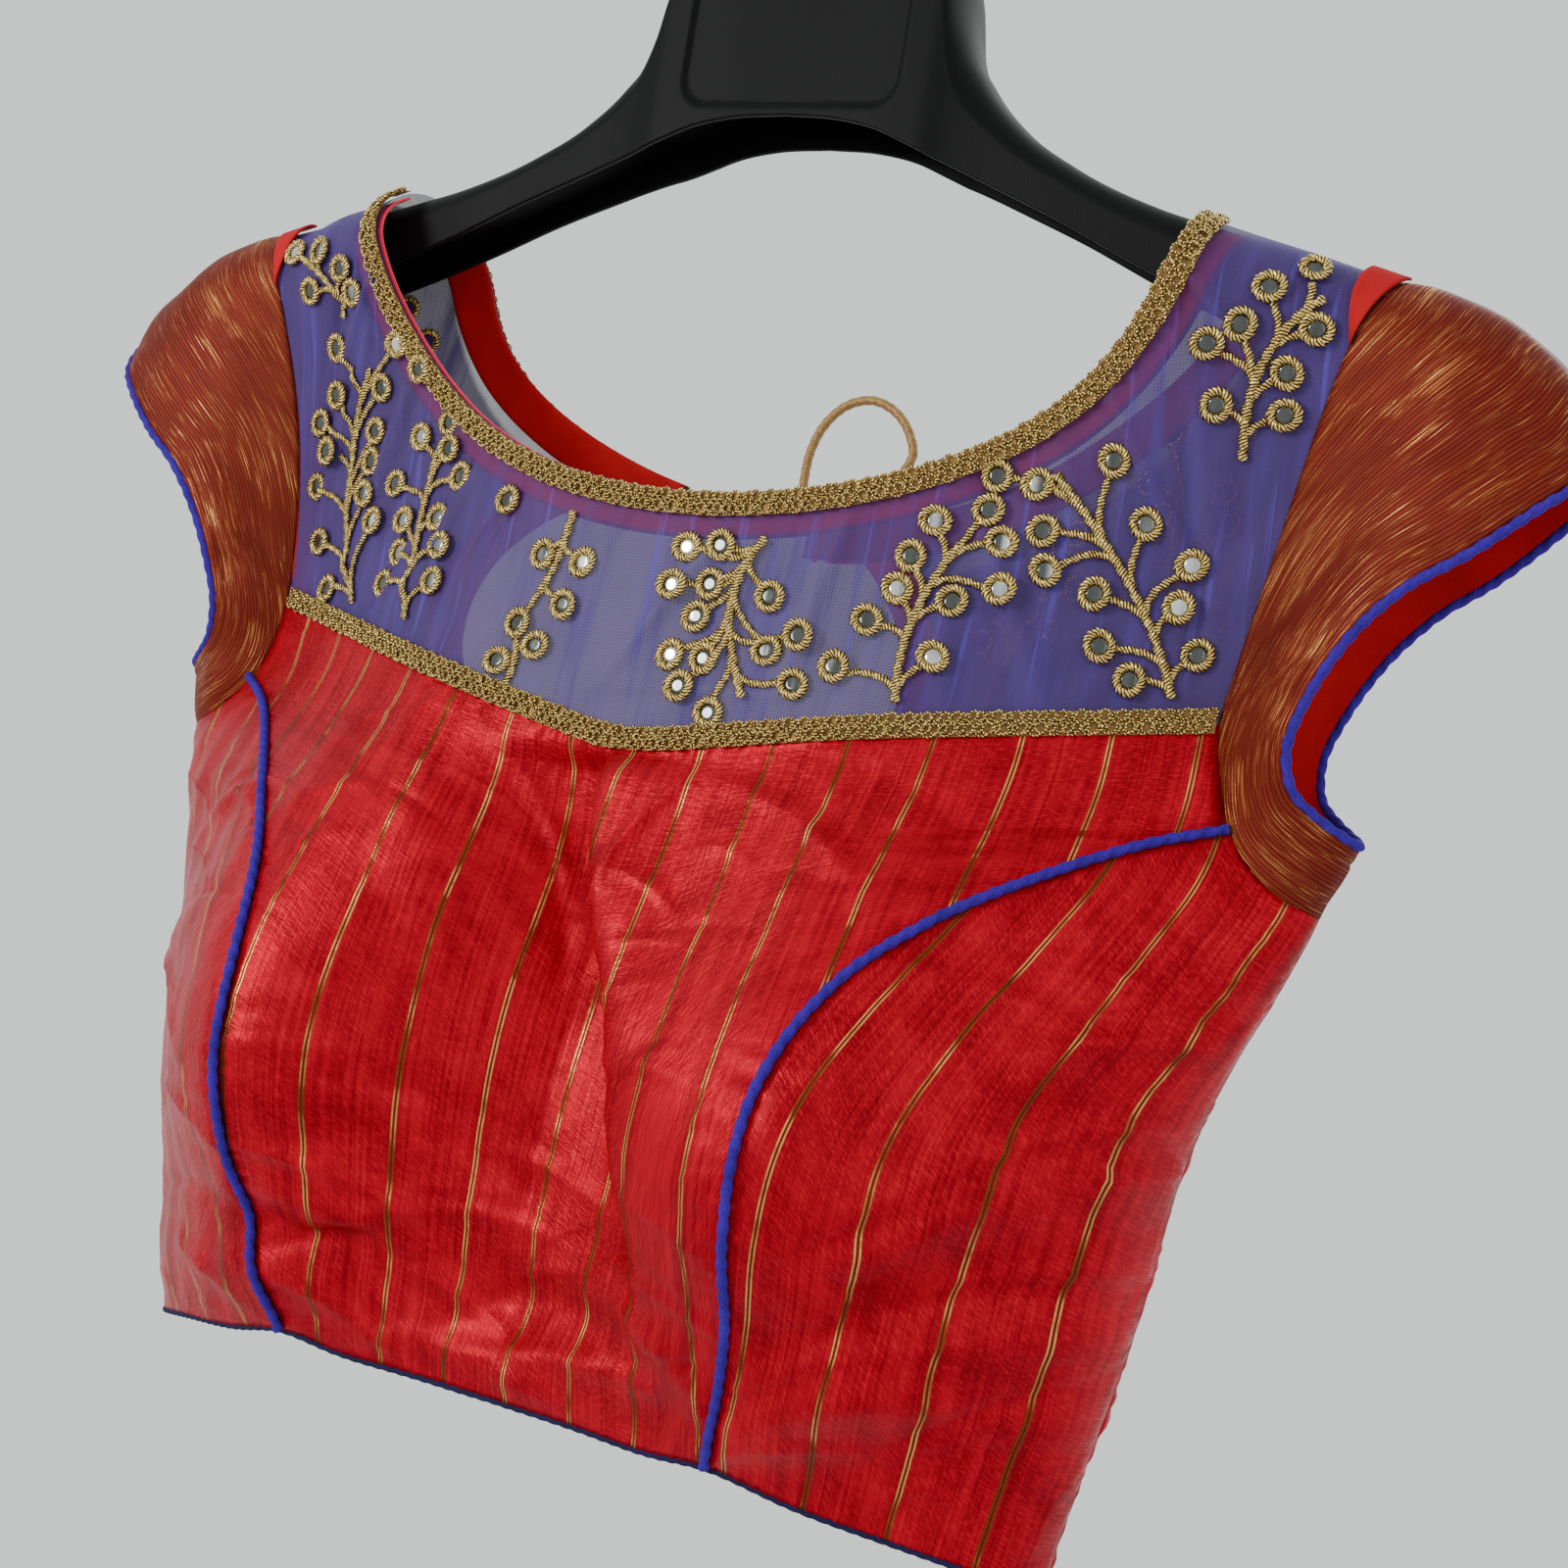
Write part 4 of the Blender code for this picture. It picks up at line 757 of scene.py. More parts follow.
def down_grid(points):
    """Distances from the grid's first column and first row, along the grid lines."""
    across = np.linalg.norm(np.diff(points, axis=0), axis=-1)
    down = np.linalg.norm(np.diff(points, axis=1), axis=-1)
    across = np.concatenate([np.zeros((1, points.shape[1])), np.cumsum(across, axis=0)])
    return across, np.concatenate([np.zeros((points.shape[0], 1)), np.cumsum(down, axis=1)], axis=1)


def from_rim(across, down):
    """Distance to the nearest side of a grid, from its distances across and down."""
    return np.minimum(np.minimum(across, across[-1:] - across), np.minimum(down, down[:, -1:] - down))


def puckers(points, edges, height):
    """Short ripples at right angles to sewn edges.

    Along each edge the height follows a wave whose length drifts, and it fades from the edge
    over about a centimetre. It is nothing on the edge itself, so that neighbours still meet.
    """
    across, down = down_grid(points)
    total = np.zeros(points.shape[:2])
    for edge, phase in edges.items():
        if edge in ("first", "last"):
            run = (down[0] if edge == "first" else down[-1])[None, :]
            away = across if edge == "first" else across[-1:] - across
        else:
            run = (across[:, 0] if edge == "top" else across[:, -1])[:, None]
            away = down if edge == "top" else down[:, -1:] - down
        beat = 2.0 * np.pi * run / 0.0062 + 2.2 * waves(run, 0.034, phase)
        swell = 0.55 + 0.45 * waves(run, 0.047, 2.0 * phase)
        total += swell * np.sin(beat + 220.0 * away) * ease(away / 0.003) * np.exp(-away / 0.0085)
    return height * total


def small_creases(x, z, count, box, seed):
    """Many small creases scattered by a seeded rule, most of them near to level."""
    pick = np.random.default_rng(seed)
    low_x, high_x, low_z, high_z = box
    table = np.column_stack([pick.uniform(low_x, high_x, count), pick.uniform(low_z, high_z, count),
                             pick.normal(0.0, 24.0, count), pick.uniform(0.006, 0.018, count),
                             pick.uniform(0.0010, 0.0022, count),
                             pick.uniform(0.0003, 0.0008, count) * pick.choice([-1.0, 1.0, 1.0], count)])
    return bars(x, z, table, True)


def ripple(x, z, seed, height):
    """Soft unevenness: ten long waves in random directions, added up."""
    pick = np.random.default_rng(seed)
    total = np.zeros_like(x)
    for turn, length, phase in zip(pick.uniform(0.0, np.pi, 10), pick.uniform(0.012, 0.045, 10),
                                   pick.uniform(0.0, 2.0 * np.pi, 10)):
        total += waves(x * np.cos(turn) + z * np.sin(turn), length, phase)
    return height * total / 3.0


def declare_cloth(piece, points, held, rests_on, with_pieces=()):
    """Finds the diagonals of the cells of the piece's grid, and does nothing more with them.
    """
    diagonals = points[1:, 1:] - points[:-1, :-1], points[1:, :-1] - points[:-1, 1:]


def silk_panel(name, s, q, face, edges, grain, count, seed):
    """A silk panel on its solid's outer face, with its creases, and its grain lines in the map.

    It is kept in panels, with its middle surface, until what is sewn to it has been made.
    """
    points, normals = shell_frame(s, q, face)
    x, z = points[..., 0], points[..., 2]
    box = (x.min(), x.max(), z.min(), z.max())
    relief = bars(x, z, FRONT_CREASES if face < 0 else BACK_CREASES, True)
    relief += small_creases(x, z, count, box, seed) + ripple(x, z, seed + 1, 0.0003)
    across, down = down_grid(points)
    relief = relief * ease(from_rim(across, down) / 0.006) + puckers(points, edges, 0.0007)
    uv = np.stack([x - grain(z), down], axis=-1)
    mesh = grid_mesh(name, raised(points, normals, 0.5 * CLOTH + relief), uv, outward=normals)
    panels[name] = add_piece("silk_" + name, mesh, [silk, red_cotton], [name], CLOTH), points


silk = Finish("raw_silk", sheen_weight=0.04, sheen_roughness=0.45,
              sheen_tint=(1.0, 0.10, 0.08), specular_ior_level=0.08)
ribs = silk.place.noise(1150.0, 14.0, 3.0, 0.6)
streaks = silk.place.noise(210.0, 5.0, 2.0, 0.5, 7.0)
slubs = silk.place.noise(38.0, 900.0, 3.0, 0.6, 3.0).step(0.56, 0.72)
# Soft darker patches about two centimetres across stand for the shading of the creases: painted shade,
# mixed into the silk's tone.
crease_shade_patches = silk.place.noise(46.0, 60.0, 3.0, 0.6, 5.0)
flecks = silk.place.noise(520.0, 1500.0, 2.0, 0.6, 9.0).step(0.46, 0.66)
tone = ribs * 0.50 + streaks * 0.22 + crease_shade_patches * 0.38 + flecks * 0.10 - 0.12
red = tone.step(0.15, 0.80).mix((0.13, 0.0003, 0.0036), (0.61, 0.0026, 0.0200))
red = (slubs * 0.10 + flecks * 0.10).mix(red, (0.76, 0.012, 0.030))
from_line = abs((silk.place.axis("X") + 0.5 * LINE_PITCH - 0.0055) % LINE_PITCH - 0.5 * LINE_PITCH)
pair = 1.0 - abs(from_line - 0.00048).step(0.00012, 0.00028)
between = 1.0 - from_line.step(0.00060, 0.00090)
broken = silk.place.noise(300.0, 190.0, 2.0, 0.6, 11.0).step(0.30, 0.52)
# The gold lines are brown, and bright gold in patches picked by a noise: painted highlight.
painted_gleam = silk.place.noise(30.0, 42.0, 2.0, 0.5, 17.0).step(0.42, 0.60)
thread = pair * (0.45 + 0.55 * broken)
red = (between * 0.60).mix(red, (0.075, 0.008, 0.003))
silk.feed("Base Color", thread.mix(red, painted_gleam.mix((0.14, 0.058, 0.010), (0.64, 0.34, 0.09))))
silk.feed("Metallic", 0.38 + 0.40 * thread)
silk.feed("Roughness", 0.46 - 0.16 * streaks - 0.05 * flecks - 0.10 * thread)
crinkle = silk.place.noise(150.0, 520.0, 3.0, 0.6, 23.0)
silk.bump(ribs * 0.30 + crinkle * 0.60 + flecks * 0.06 + thread * 0.10, 0.00070, 0.75)

red_cotton = Finish("red_cotton", roughness=0.85, specular_ior_level=0.2)
cotton_weave = red_cotton.place.noise(2200.0, 2200.0, 2.0)
cotton_tone = red_cotton.place.noise(60.0, 60.0, 3.0, 0.6, 4.0)
red_cotton.feed("Base Color", (cotton_weave * 0.4 + cotton_tone * 0.6).step(0.25, 0.75).mix(
    (0.34, 0.003, 0.006), (0.52, 0.007, 0.011)))
red_cotton.bump(cotton_weave, 0.00012, 0.4)

t = np.linspace(-1.0, 1.0, 181)
front_steps = 0.5 + 0.5 * t * (0.32 + 0.68 * t ** 2)
front_rows = np.concatenate([np.linspace(0.0, ARM_SHARE, 24)[:-1], np.linspace(ARM_SHARE, 1.0, 132)])
fine_steps = np.linspace(0.0, 1.0, 321)
seam_x = YOKE_HALF_WIDTH * (2.0 * fine_steps - 1.0)
hem_x = PRINCESS_HEM_X * (2.0 * fine_steps - 1.0)


def centre_edge(side):
    """The centre panel's side: down the armhole for the first 13% and then the curved seam."""
    def edge(v):
        on_arm = v < ARM_SHARE
        arm = armhole(YOKE_TURN + np.clip(v / ARM_SHARE, 0.0, 1.0) * (PRINCESS_TURN - YOKE_TURN), side)
        curve = princess(np.clip((v - ARM_SHARE) / (1.0 - ARM_SHARE), 0.0, 1.0), side)
        return np.where(on_arm, arm[0], curve[0]), np.where(on_arm, arm[1], curve[1])
    return edge


s, q = four_sided((seam_x, yoke_seam(seam_x)), (hem_x, hem_line(hem_x)), centre_edge(-1), centre_edge(1),
                  fine_steps, front_rows)
slid = np.empty((2, len(front_steps), len(front_rows)))
for row in range(len(front_rows)):
    x, _, z = np.moveaxis(shell(s[:, row], q[:, row], -1), -1, 0)
    middle = 0.5 if row == 0 else np.interp(0.0, x - read(CENTRE_FOLD, FOLD_COLUMNS, "x", z), fine_steps)
    at = np.where(front_steps < 0.5, 2.0 * middle * front_steps,
                  1.0 - 2.0 * (1.0 - middle) * (1.0 - front_steps))
    slid[0, :, row] = np.interp(at, fine_steps, s[:, row])
    slid[1, :, row] = np.interp(at, fine_steps, q[:, row])


def straight_grain(z):
    """The centre panel is cut with its grain upright."""
    return 0.0 * z


def leaning_grain(side):
    """The side panels and the back halves are cut with the grain along the side seam."""
    return lambda z: side * 1.15 * (read(SECTIONS, SECTION_COLUMNS, "half_width", z) - 0.186)


panels = {}
silk_panel("front_centre", slid[0], slid[1], -1, {"first": 0.3, "last": 1.7, "top": 2.9}, straight_grain,
           110, 41)
side_rows = np.linspace(0.0, 1.0, 111)
side_steps = np.linspace(0.0, 1.0, 71)
for side, tail in SIDES:
    hem_x = side * (PRINCESS_HEM_X + side_steps * (HEM_HALF_WIDTH - PRINCESS_HEM_X))
    s, q = four_sided(armhole(PRINCESS_TURN + side_steps * (1.0 - PRINCESS_TURN), side),
                      (hem_x, hem_line(hem_x)), lambda v: princess(v, side), lambda v: side_seam(v, side),
                      side_steps, side_rows)
    silk_panel("front_side_" + tail, s, q, -1, {"first": 0.9, "last": 2.3}, leaning_grain(side), 60,
               52 + side)

for side, tail in SIDES:
    arc = keyhole_edge(np.linspace(np.pi, keyhole_angles(side)[1], 46), side)
    seam_x = arc[0][-1] + np.linspace(0.0, 1.0, 46)[1:] * (side * YOKE_HALF_WIDTH - arc[0][-1])
    arm = armhole(np.linspace(YOKE_TURN, 1.0, 25)[1:], side)
    top_x = np.concatenate([arc[0], seam_x, arm[0]])
    top_z = np.concatenate([arc[1], yoke_seam(seam_x), arm[1]])
    lengths = np.hypot(np.diff(top_x), np.diff(top_z))
    across = np.concatenate([[0.0], np.cumsum(lengths) / np.sum(lengths)])
    hem_x = side * HEM_HALF_WIDTH * across
    s, q = four_sided((top_x, top_z), (hem_x, hem_line(hem_x)),
                      lambda v: (KEYHOLE["x"] * (1.0 - v), arc[1][0] + v * (hem_line(0.0) - arc[1][0])),
                      lambda v: side_seam(v, side), across, side_rows)
    silk_panel("back_" + tail, s, q, 1, {"first": 1.1, "last": 0.4}, leaning_grain(side), 90, 63 + side)

# Red facings
# Strips of red cotton turned to the inside at the neck and round the back opening, and a narrow
# strip of the same cotton between the yoke and each sleeve head that runs out down the armhole.
LAY_GAP = 0.00045
FACING = 0.0008
FACING_WIDTH = 0.0135
STRIP_TURN = 0.155


def neck_edge(angle, drop, out=0.0):
    """The neck's outline, half an ellipse that meets the shoulder line, moved out by a distance."""
    x = -(NECK_HALF_WIDTH + out) * np.cos(angle)
    sine = np.abs(np.sin(angle))
    return x, -SHOULDER_FALL * (np.abs(x) - NECK_HALF_WIDTH) * (1.0 - sine) ** 3 - (drop + out) * sine


def front_neck(angle, out):
    """The front neck's outline, all of it."""
    return neck_edge(angle, FRONT_NECK_DROP, out)


def back_neck(side):
    """The back neck's outline on one side, from the shoulder towards the opening."""
    def outline(angle, out=0.0):
        x, z = neck_edge(angle, BACK_NECK_DROP, out)
        return -side * x, z
    return outline


def band_grid(outline, steps, width, rows, face, lift, wave):
    """A band along an outline.

    outline gives x and z for a step and a distance out from the edge. The band's points are
    those places on the shell, lifted along its normals, with a soft wave of that height.
    """
    out = np.linspace(0.0, width, rows)
    x, z = outline(steps[:, None], out[None, :])
    x, z = np.broadcast_arrays(x, z)
    points, normals = shell_frame(*place(x, z), face)
    run = run_along(points[:, 0])
    swell = wave * (waves(run, 0.023) + waves(run, 0.0137, 1.0))[:, None]
    uv = np.stack(np.broadcast_arrays(run[:, None], out[None, :]), axis=-1)
    return raised(points, normals, lift + swell * (out / width)), normals, uv


# A brighter, pinker copy of the red cotton for the facings seen through the net: painted light.
painted_light_cotton = Finish("painted_light_cotton", roughness=0.85)
rose_cloud = painted_light_cotton.place.noise(60.0, 60.0, 3.0, 0.6, 4.0)
painted_light_cotton.feed("Base Color", rose_cloud.mix((0.80, 0.012, 0.045), (0.95, 0.030, 0.090)))


def add_facing(name, outline, steps, width, face, side=-1.0, finish=red_cotton):
    """A facing on the shell: side is -1 inside the cloth and 1 on top of it."""
    lift = side * (0.5 * CLOTH + LAY_GAP + (FACING if side > 0 else 0.0))
    points, normals, uv = band_grid(outline, steps, width, 9, face, lift, 0.00012)
    facing = add_piece("red_" + name, grid_mesh(name, points, uv, outward=normals), [finish],
                       [name], FACING)
    declare_cloth(facing, points, "laid", [hanger])


def opening_outline(side):
    """The back opening's outline, kept under the neck's facing."""
    clear = FACING_WIDTH + 0.0003

    def outline(angle, out):
        x, z = keyhole_edge(angle, side, out)
        level = np.sqrt(np.clip(1.0 - (x / (NECK_HALF_WIDTH + clear)) ** 2, 0.0, 1.0))
        return x, np.minimum(z, -(BACK_NECK_DROP + clear) * level)
    return outline


add_facing("neck_facing_front", front_neck, np.linspace(0.03, np.pi - 0.03, 180), FACING_WIDTH, -1,
           finish=painted_light_cotton)
for side, tail in SIDES:
    tip, seam, neck_end = keyhole_angles(side)
    add_facing("neck_facing_back_" + tail, back_neck(side), np.linspace(0.03, neck_end - 0.02, 110),
               FACING_WIDTH, 1)
    add_facing("keyhole_facing_" + tail, opening_outline(side), np.linspace(tip + 0.02, seam - 0.01, 80),
               0.0125, 1, finish=painted_light_cotton)
    add_facing("keyhole_facing_low_" + tail, lambda a, out: keyhole_edge(a, side, out),
               np.linspace(seam + 0.01, np.pi - 0.004, 70), FACING_WIDTH, 1)


def strip_outline(side):
    """The strip beside the sleeve head: 10 mm wide on the shoulder, and nothing 35 mm further down."""
    def outline(turn, out):
        x, z = armhole(turn, side)
        width = np.clip(1.0 - (turn / STRIP_TURN) ** 1.6, 0.03, 1.0)
        return x - side * out * width * 0.96, z + 0.26 * out * width
    return outline


for side, tail in SIDES:
    add_facing("armhole_strip_" + tail, strip_outline(side), np.linspace(0.002, STRIP_TURN, 40), 0.0103, -1,
               1.0)

# Net yoke
# Sheer violet-blue net in one layer, cut to a round neck. It is soft, and hangs in a few long
# wrinkles from the shoulders. The back is two pieces, with the open keyhole between them.
NECK_REACH = 0.76
NECK_ZONE = (0.148, 0.1086)
NET_WRINKLES = (
    (-0.116, -0.08, 78, 0.036, 0.003, 0.0034), (-0.102, -0.1, 72, 0.04, 0.0024, -0.0026),
    (-0.086, -0.115, 66, 0.034, 0.0026, 0.003), (-0.074, -0.128, 74, 0.026, 0.0022, 0.0024),
    (-0.148, -0.09, 84, 0.034, 0.0026, 0.0024), (-0.134, -0.038, 62, 0.022, 0.0024, 0.0026),
    (-0.15, -0.045, 70, 0.02, 0.0024, -0.002), (-0.05, -0.135, 82, 0.022, 0.0026, 0.0016),
    (-0.126, -0.112, 80, 0.03, 0.0022, 0.0022), (-0.11, -0.128, 66, 0.026, 0.002, -0.002),
    (-0.064, -0.112, 58, 0.026, 0.002, -0.0016), (-0.14, -0.07, 74, 0.024, 0.002, 0.002),
    (0.004, -0.128, 58, 0.034, 0.0022, 0.0018), (0.05, -0.12, 80, 0.03, 0.0024, 0.0018),
    (0.026, -0.134, 84, 0.026, 0.002, 0.0014), (0.066, -0.132, 74, 0.024, 0.002, -0.0014),
    (0.1, -0.112, -62, 0.034, 0.0024, 0.002), (0.13, -0.072, -58, 0.03, 0.0024, 0.0024),
    (0.146, -0.09, -78, 0.034, 0.0024, -0.0018), (0.148, -0.034, -50, 0.022, 0.0024, 0.0024),
    (0.116, -0.09, -70, 0.028, 0.002, 0.0016), (0.088, -0.132, -76, 0.024, 0.002, 0.0014),
    (0.024, -0.151, 4, 0.03, 0.0022, 0.001), (-0.02, -0.112, 66, 0.028, 0.0022, 0.0012))


def net_relief(x, z, face):
    """The wrinkles, the same on the back with the sides changed over, and a soft unevenness."""
    turned = x if face < 0 else -x
    return bars(turned, z, NET_WRINKLES) + ripple(x, z, 7, 0.00035)


def net_frame(x, z, face):
    """Points of the net and its outward normals at places given by x and z."""
    points, normals = shell_frame(*place(x, z), face)
    return raised(points, normals, net_relief(x, z, face)), normals


def add_net(name, s, q, face):
    """A piece of the net, with its threads' directions in the map."""
    points, normals = shell_frame(s, q, face)
    x, z = points[..., 0], points[..., 2]
    relief = net_relief(x, z, face) * ease(from_rim(*down_grid(points)) / 0.012)
    mesh = grid_mesh(name, raised(points, normals, relief), np.stack([x, z], axis=-1), outward=normals)
    panels[name] = add_piece("net_" + name, mesh, [net], [name]), points


net = Finish("violet_net", roughness=0.62, sheen_weight=0.12, sheen_tint=(0.45, 0.40, 1.0),
             specular_ior_level=0.25)
net.material.surface_render_method = "DITHERED"
net_x, net_z = net.place.axis("X"), net.place.axis("Y")
threads = (net_x * 7000.0).wave() * (net_z * 7000.0).wave()
net_cloud = net.place.noise(55.0, 40.0, 3.0)
net_speck = net.place.noise(1400.0, 1400.0, 2.0)
net_streak = net.place.noise(130.0, 10.0, 3.0, 0.6, 31.0).step(0.45, 0.70)
# Thin lines along the folds are lighter in colour, a painted highlight, and a little denser in the alpha.
fold_lines_and_highlights = net.place.noise(330.0, 14.0, 2.0, 0.5, 37.0).step(0.59, 0.70)
net_tone = (net_cloud * 0.7 + net_speck * 0.3).mix((0.020, 0.007, 0.066), (0.074, 0.036, 0.170))
net.feed("Base Color", (fold_lines_and_highlights * 0.55 + net_streak * 0.20).mix(net_tone, (0.080, 0.048, 0.34)))
neck_zone = net_x * net_x * (1.0 / NECK_ZONE[0] ** 2) + net_z * net_z * (1.0 / NECK_ZONE[1] ** 2)
over_facing = 1.0 - neck_zone.step(0.96, 1.0)
net.feed("Alpha", 0.88 + 0.06 * threads + 0.05 * net_speck + 0.06 * net_streak + 0.04 * fold_lines_and_highlights
         - 0.24 * over_facing)
net.bump(threads, 0.00010, 0.3)

turns = np.linspace(0.0, 1.0, 56) ** 1.3 * YOKE_TURN
corner = np.arccos(NECK_REACH)
rise = corner * (turns / YOKE_TURN)
steps = np.linspace(0.0, 1.0, 121)
net_rows = np.linspace(0.0, 1.0, 66)
seam_x = YOKE_HALF_WIDTH * (2.0 * steps - 1.0)
angles = np.concatenate([rise[:-1], np.arccos(-NECK_REACH * (2.0 * steps - 1.0)), np.pi - rise[-2::-1]])
arm_x, arm_z = armhole(turns, -1)
outer = (np.concatenate([arm_x[:-1], seam_x, -arm_x[-2::-1]]),
         np.concatenate([arm_z[:-1], yoke_seam(seam_x), arm_z[-2::-1]]))


def shoulder_line(side):
    """The short shoulder seam, from the neck to the sleeve head."""
    def line(v):
        x = NECK_HALF_WIDTH + v * (SLEEVE[0][1] - NECK_HALF_WIDTH)
        return side * x, -SHOULDER_FALL * (x - NECK_HALF_WIDTH)
    return line


s, q = four_sided(neck_edge(angles, FRONT_NECK_DROP), outer, shoulder_line(-1), shoulder_line(1),
                  np.linspace(0.0, 1.0, len(angles)), net_rows)
add_net("yoke_front", s, q, -1)
for side, tail in SIDES:
    tip, seam, neck_end = keyhole_angles(side)
    corner_x = keyhole_edge(seam, side)[0]
    back_steps = np.linspace(1.0, 0.0, 61)
    seam_x = corner_x + back_steps * (side * YOKE_HALF_WIDTH - corner_x)
    angles = np.concatenate([rise[:-1], neck_end + back_steps * (corner - neck_end)])
    arm_x, arm_z = armhole(turns, side)
    outer = np.concatenate([arm_x[:-1], seam_x]), np.concatenate([arm_z[:-1], yoke_seam(seam_x)])
    s, q = four_sided(back_neck(side)(angles), outer,
                      shoulder_line(side), lambda v: keyhole_edge(tip + v * (seam - tip), side),
                      np.linspace(0.0, 1.0, len(angles)), net_rows)
    add_net("yoke_back_" + tail, s, q, 1)

# Mirror work
# Sprays of round glass mirrors on the net. Each mirror is held by a ring of gold purl, and stems
# of plaited gold thread run from the foot of a spray to its mirrors.
MIRROR_RADIUS = 0.0025
RING_RADIUS = 0.00355
RING_THICKNESS = 0.0014
STEM_RADIUS = 0.0012
SIDE_STEM = 0.8
SUNK = 0.0011
RING_MARGIN = 0.0075
KEYHOLE_MARGIN = 0.012
SHOULDER_MARGIN = 0.014
SLEEVE_YOKE_ROWS = 7
LOOSE_RINGS = ((-0.109, -0.062), (-0.094, -0.078), (-0.060, -0.102))
SPRAY_COLUMNS = ("foot_x", "foot_z", "bend_x", "bend_z", "tip_x", "tip_z", "rings", "reach", "seed")
FRONT_SPRAYS = (
    (-0.122, -0.138, -0.146, -0.104, -0.133, -0.062, 13, 0.0175, 4),
    (-0.091, -0.142, -0.1, -0.114, -0.095, -0.088, 10, 0.015, 9),
    (-0.146, -0.046, -0.15, -0.036, -0.167, -0.028, 5, 0.011, 3),
    (-0.033, -0.104, -0.033, -0.116, -0.039, -0.129, 4, 0.011, 5),
    (0.032, -0.106, 0.018, -0.126, 0.036, -0.152, 13, 0.0185, 2),
    (0.079, -0.147, 0.073, -0.125, 0.086, -0.101, 10, 0.0165, 8),
    (0.147, -0.134, 0.138, -0.108, 0.108, -0.078, 12, 0.0165, 6),
    (0.156, -0.068, 0.153, -0.04, 0.172, -0.025, 11, 0.015, 7),
    (-0.043, -0.158, -0.041, -0.152, -0.043, -0.144, 3, 0.0095, 1))
BACK_SPRAYS = (
    (0.126, -0.128, 0.14, -0.098, 0.128, -0.07, 9, 0.016, 31),
    (0.146, -0.06, 0.15, -0.044, 0.166, -0.032, 6, 0.012, 32),
    (0.072, -0.142, 0.078, -0.12, 0.092, -0.096, 6, 0.014, 33),
    (-0.134, -0.13, -0.146, -0.104, -0.134, -0.074, 9, 0.016, 34),
    (-0.15, -0.058, -0.152, -0.044, -0.168, -0.032, 6, 0.012, 35))


def inside_yoke(x, z, face, margin):
    """Whether a place is on the net, farther than the margin from its edges."""
    drop = FRONT_NECK_DROP if face < 0 else BACK_NECK_DROP
    clear = (x / (NECK_HALF_WIDTH + margin)) ** 2 + (np.minimum(z, 0.0) / (drop + margin)) ** 2 > 1.0
    clear &= z > yoke_seam(np.asarray(x)) + margin
    turns, _, seam_z = np.array(SLEEVE)[:SLEEVE_YOKE_ROWS, :3].T
    turn = np.interp(-z, -seam_z, turns)
    clear &= np.abs(x) < read(SLEEVE, SLEEVE_COLUMNS, "seam_x", turn) - margin
    if face > 0:
        around = KEYHOLE_MARGIN + margin
        clear &= np.hypot((x - KEYHOLE["x"]) / (KEYHOLE["half_width"] + around),
                          (z - KEYHOLE["z"]) / (KEYHOLE["half_height"] + around)) > 1.0
    return bool(clear) and z < -SHOULDER_MARGIN


def lay_spray(row, face, taken):
    """One spray: its stem, and a ring at the end of each side stem where there is room for it.

    Side stems leave the stem by turns to the left and to the right, and the last goes straight on.
    """
    spray = dict(zip(SPRAY_COLUMNS, row))
    pick = np.random.default_rng(int(spray["seed"]))
    main = bent_line([(spray["foot_x"], spray["foot_z"]), (spray["bend_x"], spray["bend_z"]),
                      (spray["tip_x"], spray["tip_z"])], 60)
    stems = [main]
    rings = []
    for i in range(int(spray["rings"]) * 14):
        if len(rings) >= spray["rings"]:
            break
        at = 0.08 + 0.92 * ((i * 0.381966) % 1.0) if i else 1.0
        k = int(at * 59)
        heading = unit(main[min(k + 1, 59)] - main[max(k - 1, 0)])
        lean = np.radians(0.0 if i == 0 else (1 if i % 2 else -1) * pick.uniform(30.0, 82.0))
        turned = np.array([heading[0] * np.cos(lean) - heading[1] * np.sin(lean),
                           heading[0] * np.sin(lean) + heading[1] * np.cos(lean)])
        reach = spray["reach"] * pick.uniform(0.55, 1.15)
        end = main[k] + turned * reach
        room = [np.hypot(*(end - other)) > 2.0 * RING_RADIUS + 0.0026 for other in taken]
        from_stem = np.min(np.hypot(*(main - end).T)) > RING_RADIUS + 0.0016
        if not (all(room) and from_stem and inside_yoke(end[0], end[1], face, RING_MARGIN)):
            continue
        taken.append(end)
        rings.append(end)
        start = main[max(k - 5, 0)]
        bend = start + heading * reach * 0.45
        edge = end - turned * (RING_RADIUS + 0.0008)
        stems.append(bent_line([start, bend, edge], 26))
    return stems, rings


def on_net(places, face, lift):
    """Places given by x and z, put on the net and lifted off it."""
    places = np.asarray(places, float)
    points, normals = net_frame(places[..., 0], places[..., 1], face)
    return points + (0.5 * CLOTH + lift) * normals, normals


def purl_ring(centre, out, across, seed):
    """A purl ring: a ring whose thickness follows 13 rounds of the coil, a little uneven."""
    pick = np.random.default_rng(seed)
    round_ring = np.linspace(0.0, 2.0 * np.pi, 61)[:, None]
    section = np.linspace(0.0, 2.0 * np.pi, 10)[None, :]
    coils = 0.5 + 0.5 * np.cos(13.0 * round_ring + section + pick.uniform(0.0, 6.28))
    uneven = 1.0 + 0.07 * np.sin(2.0 * round_ring + pick.uniform(0.0, 6.28))
    size = RING_THICKNESS * (0.72 + 0.34 * coils) * uneven
    wide = RING_RADIUS * (1.0 + 0.05 * np.cos(2.0 * round_ring + pick.uniform(0.0, 6.28)))
    high = 0.55 * RING_THICKNESS + 0.72 * size * np.sin(section)
    radius = wide + size * np.cos(section)
    return (centre + (radius * np.cos(round_ring))[..., None] * across
            + (radius * np.sin(round_ring))[..., None] * np.cross(out, across) + high[..., None] * out)


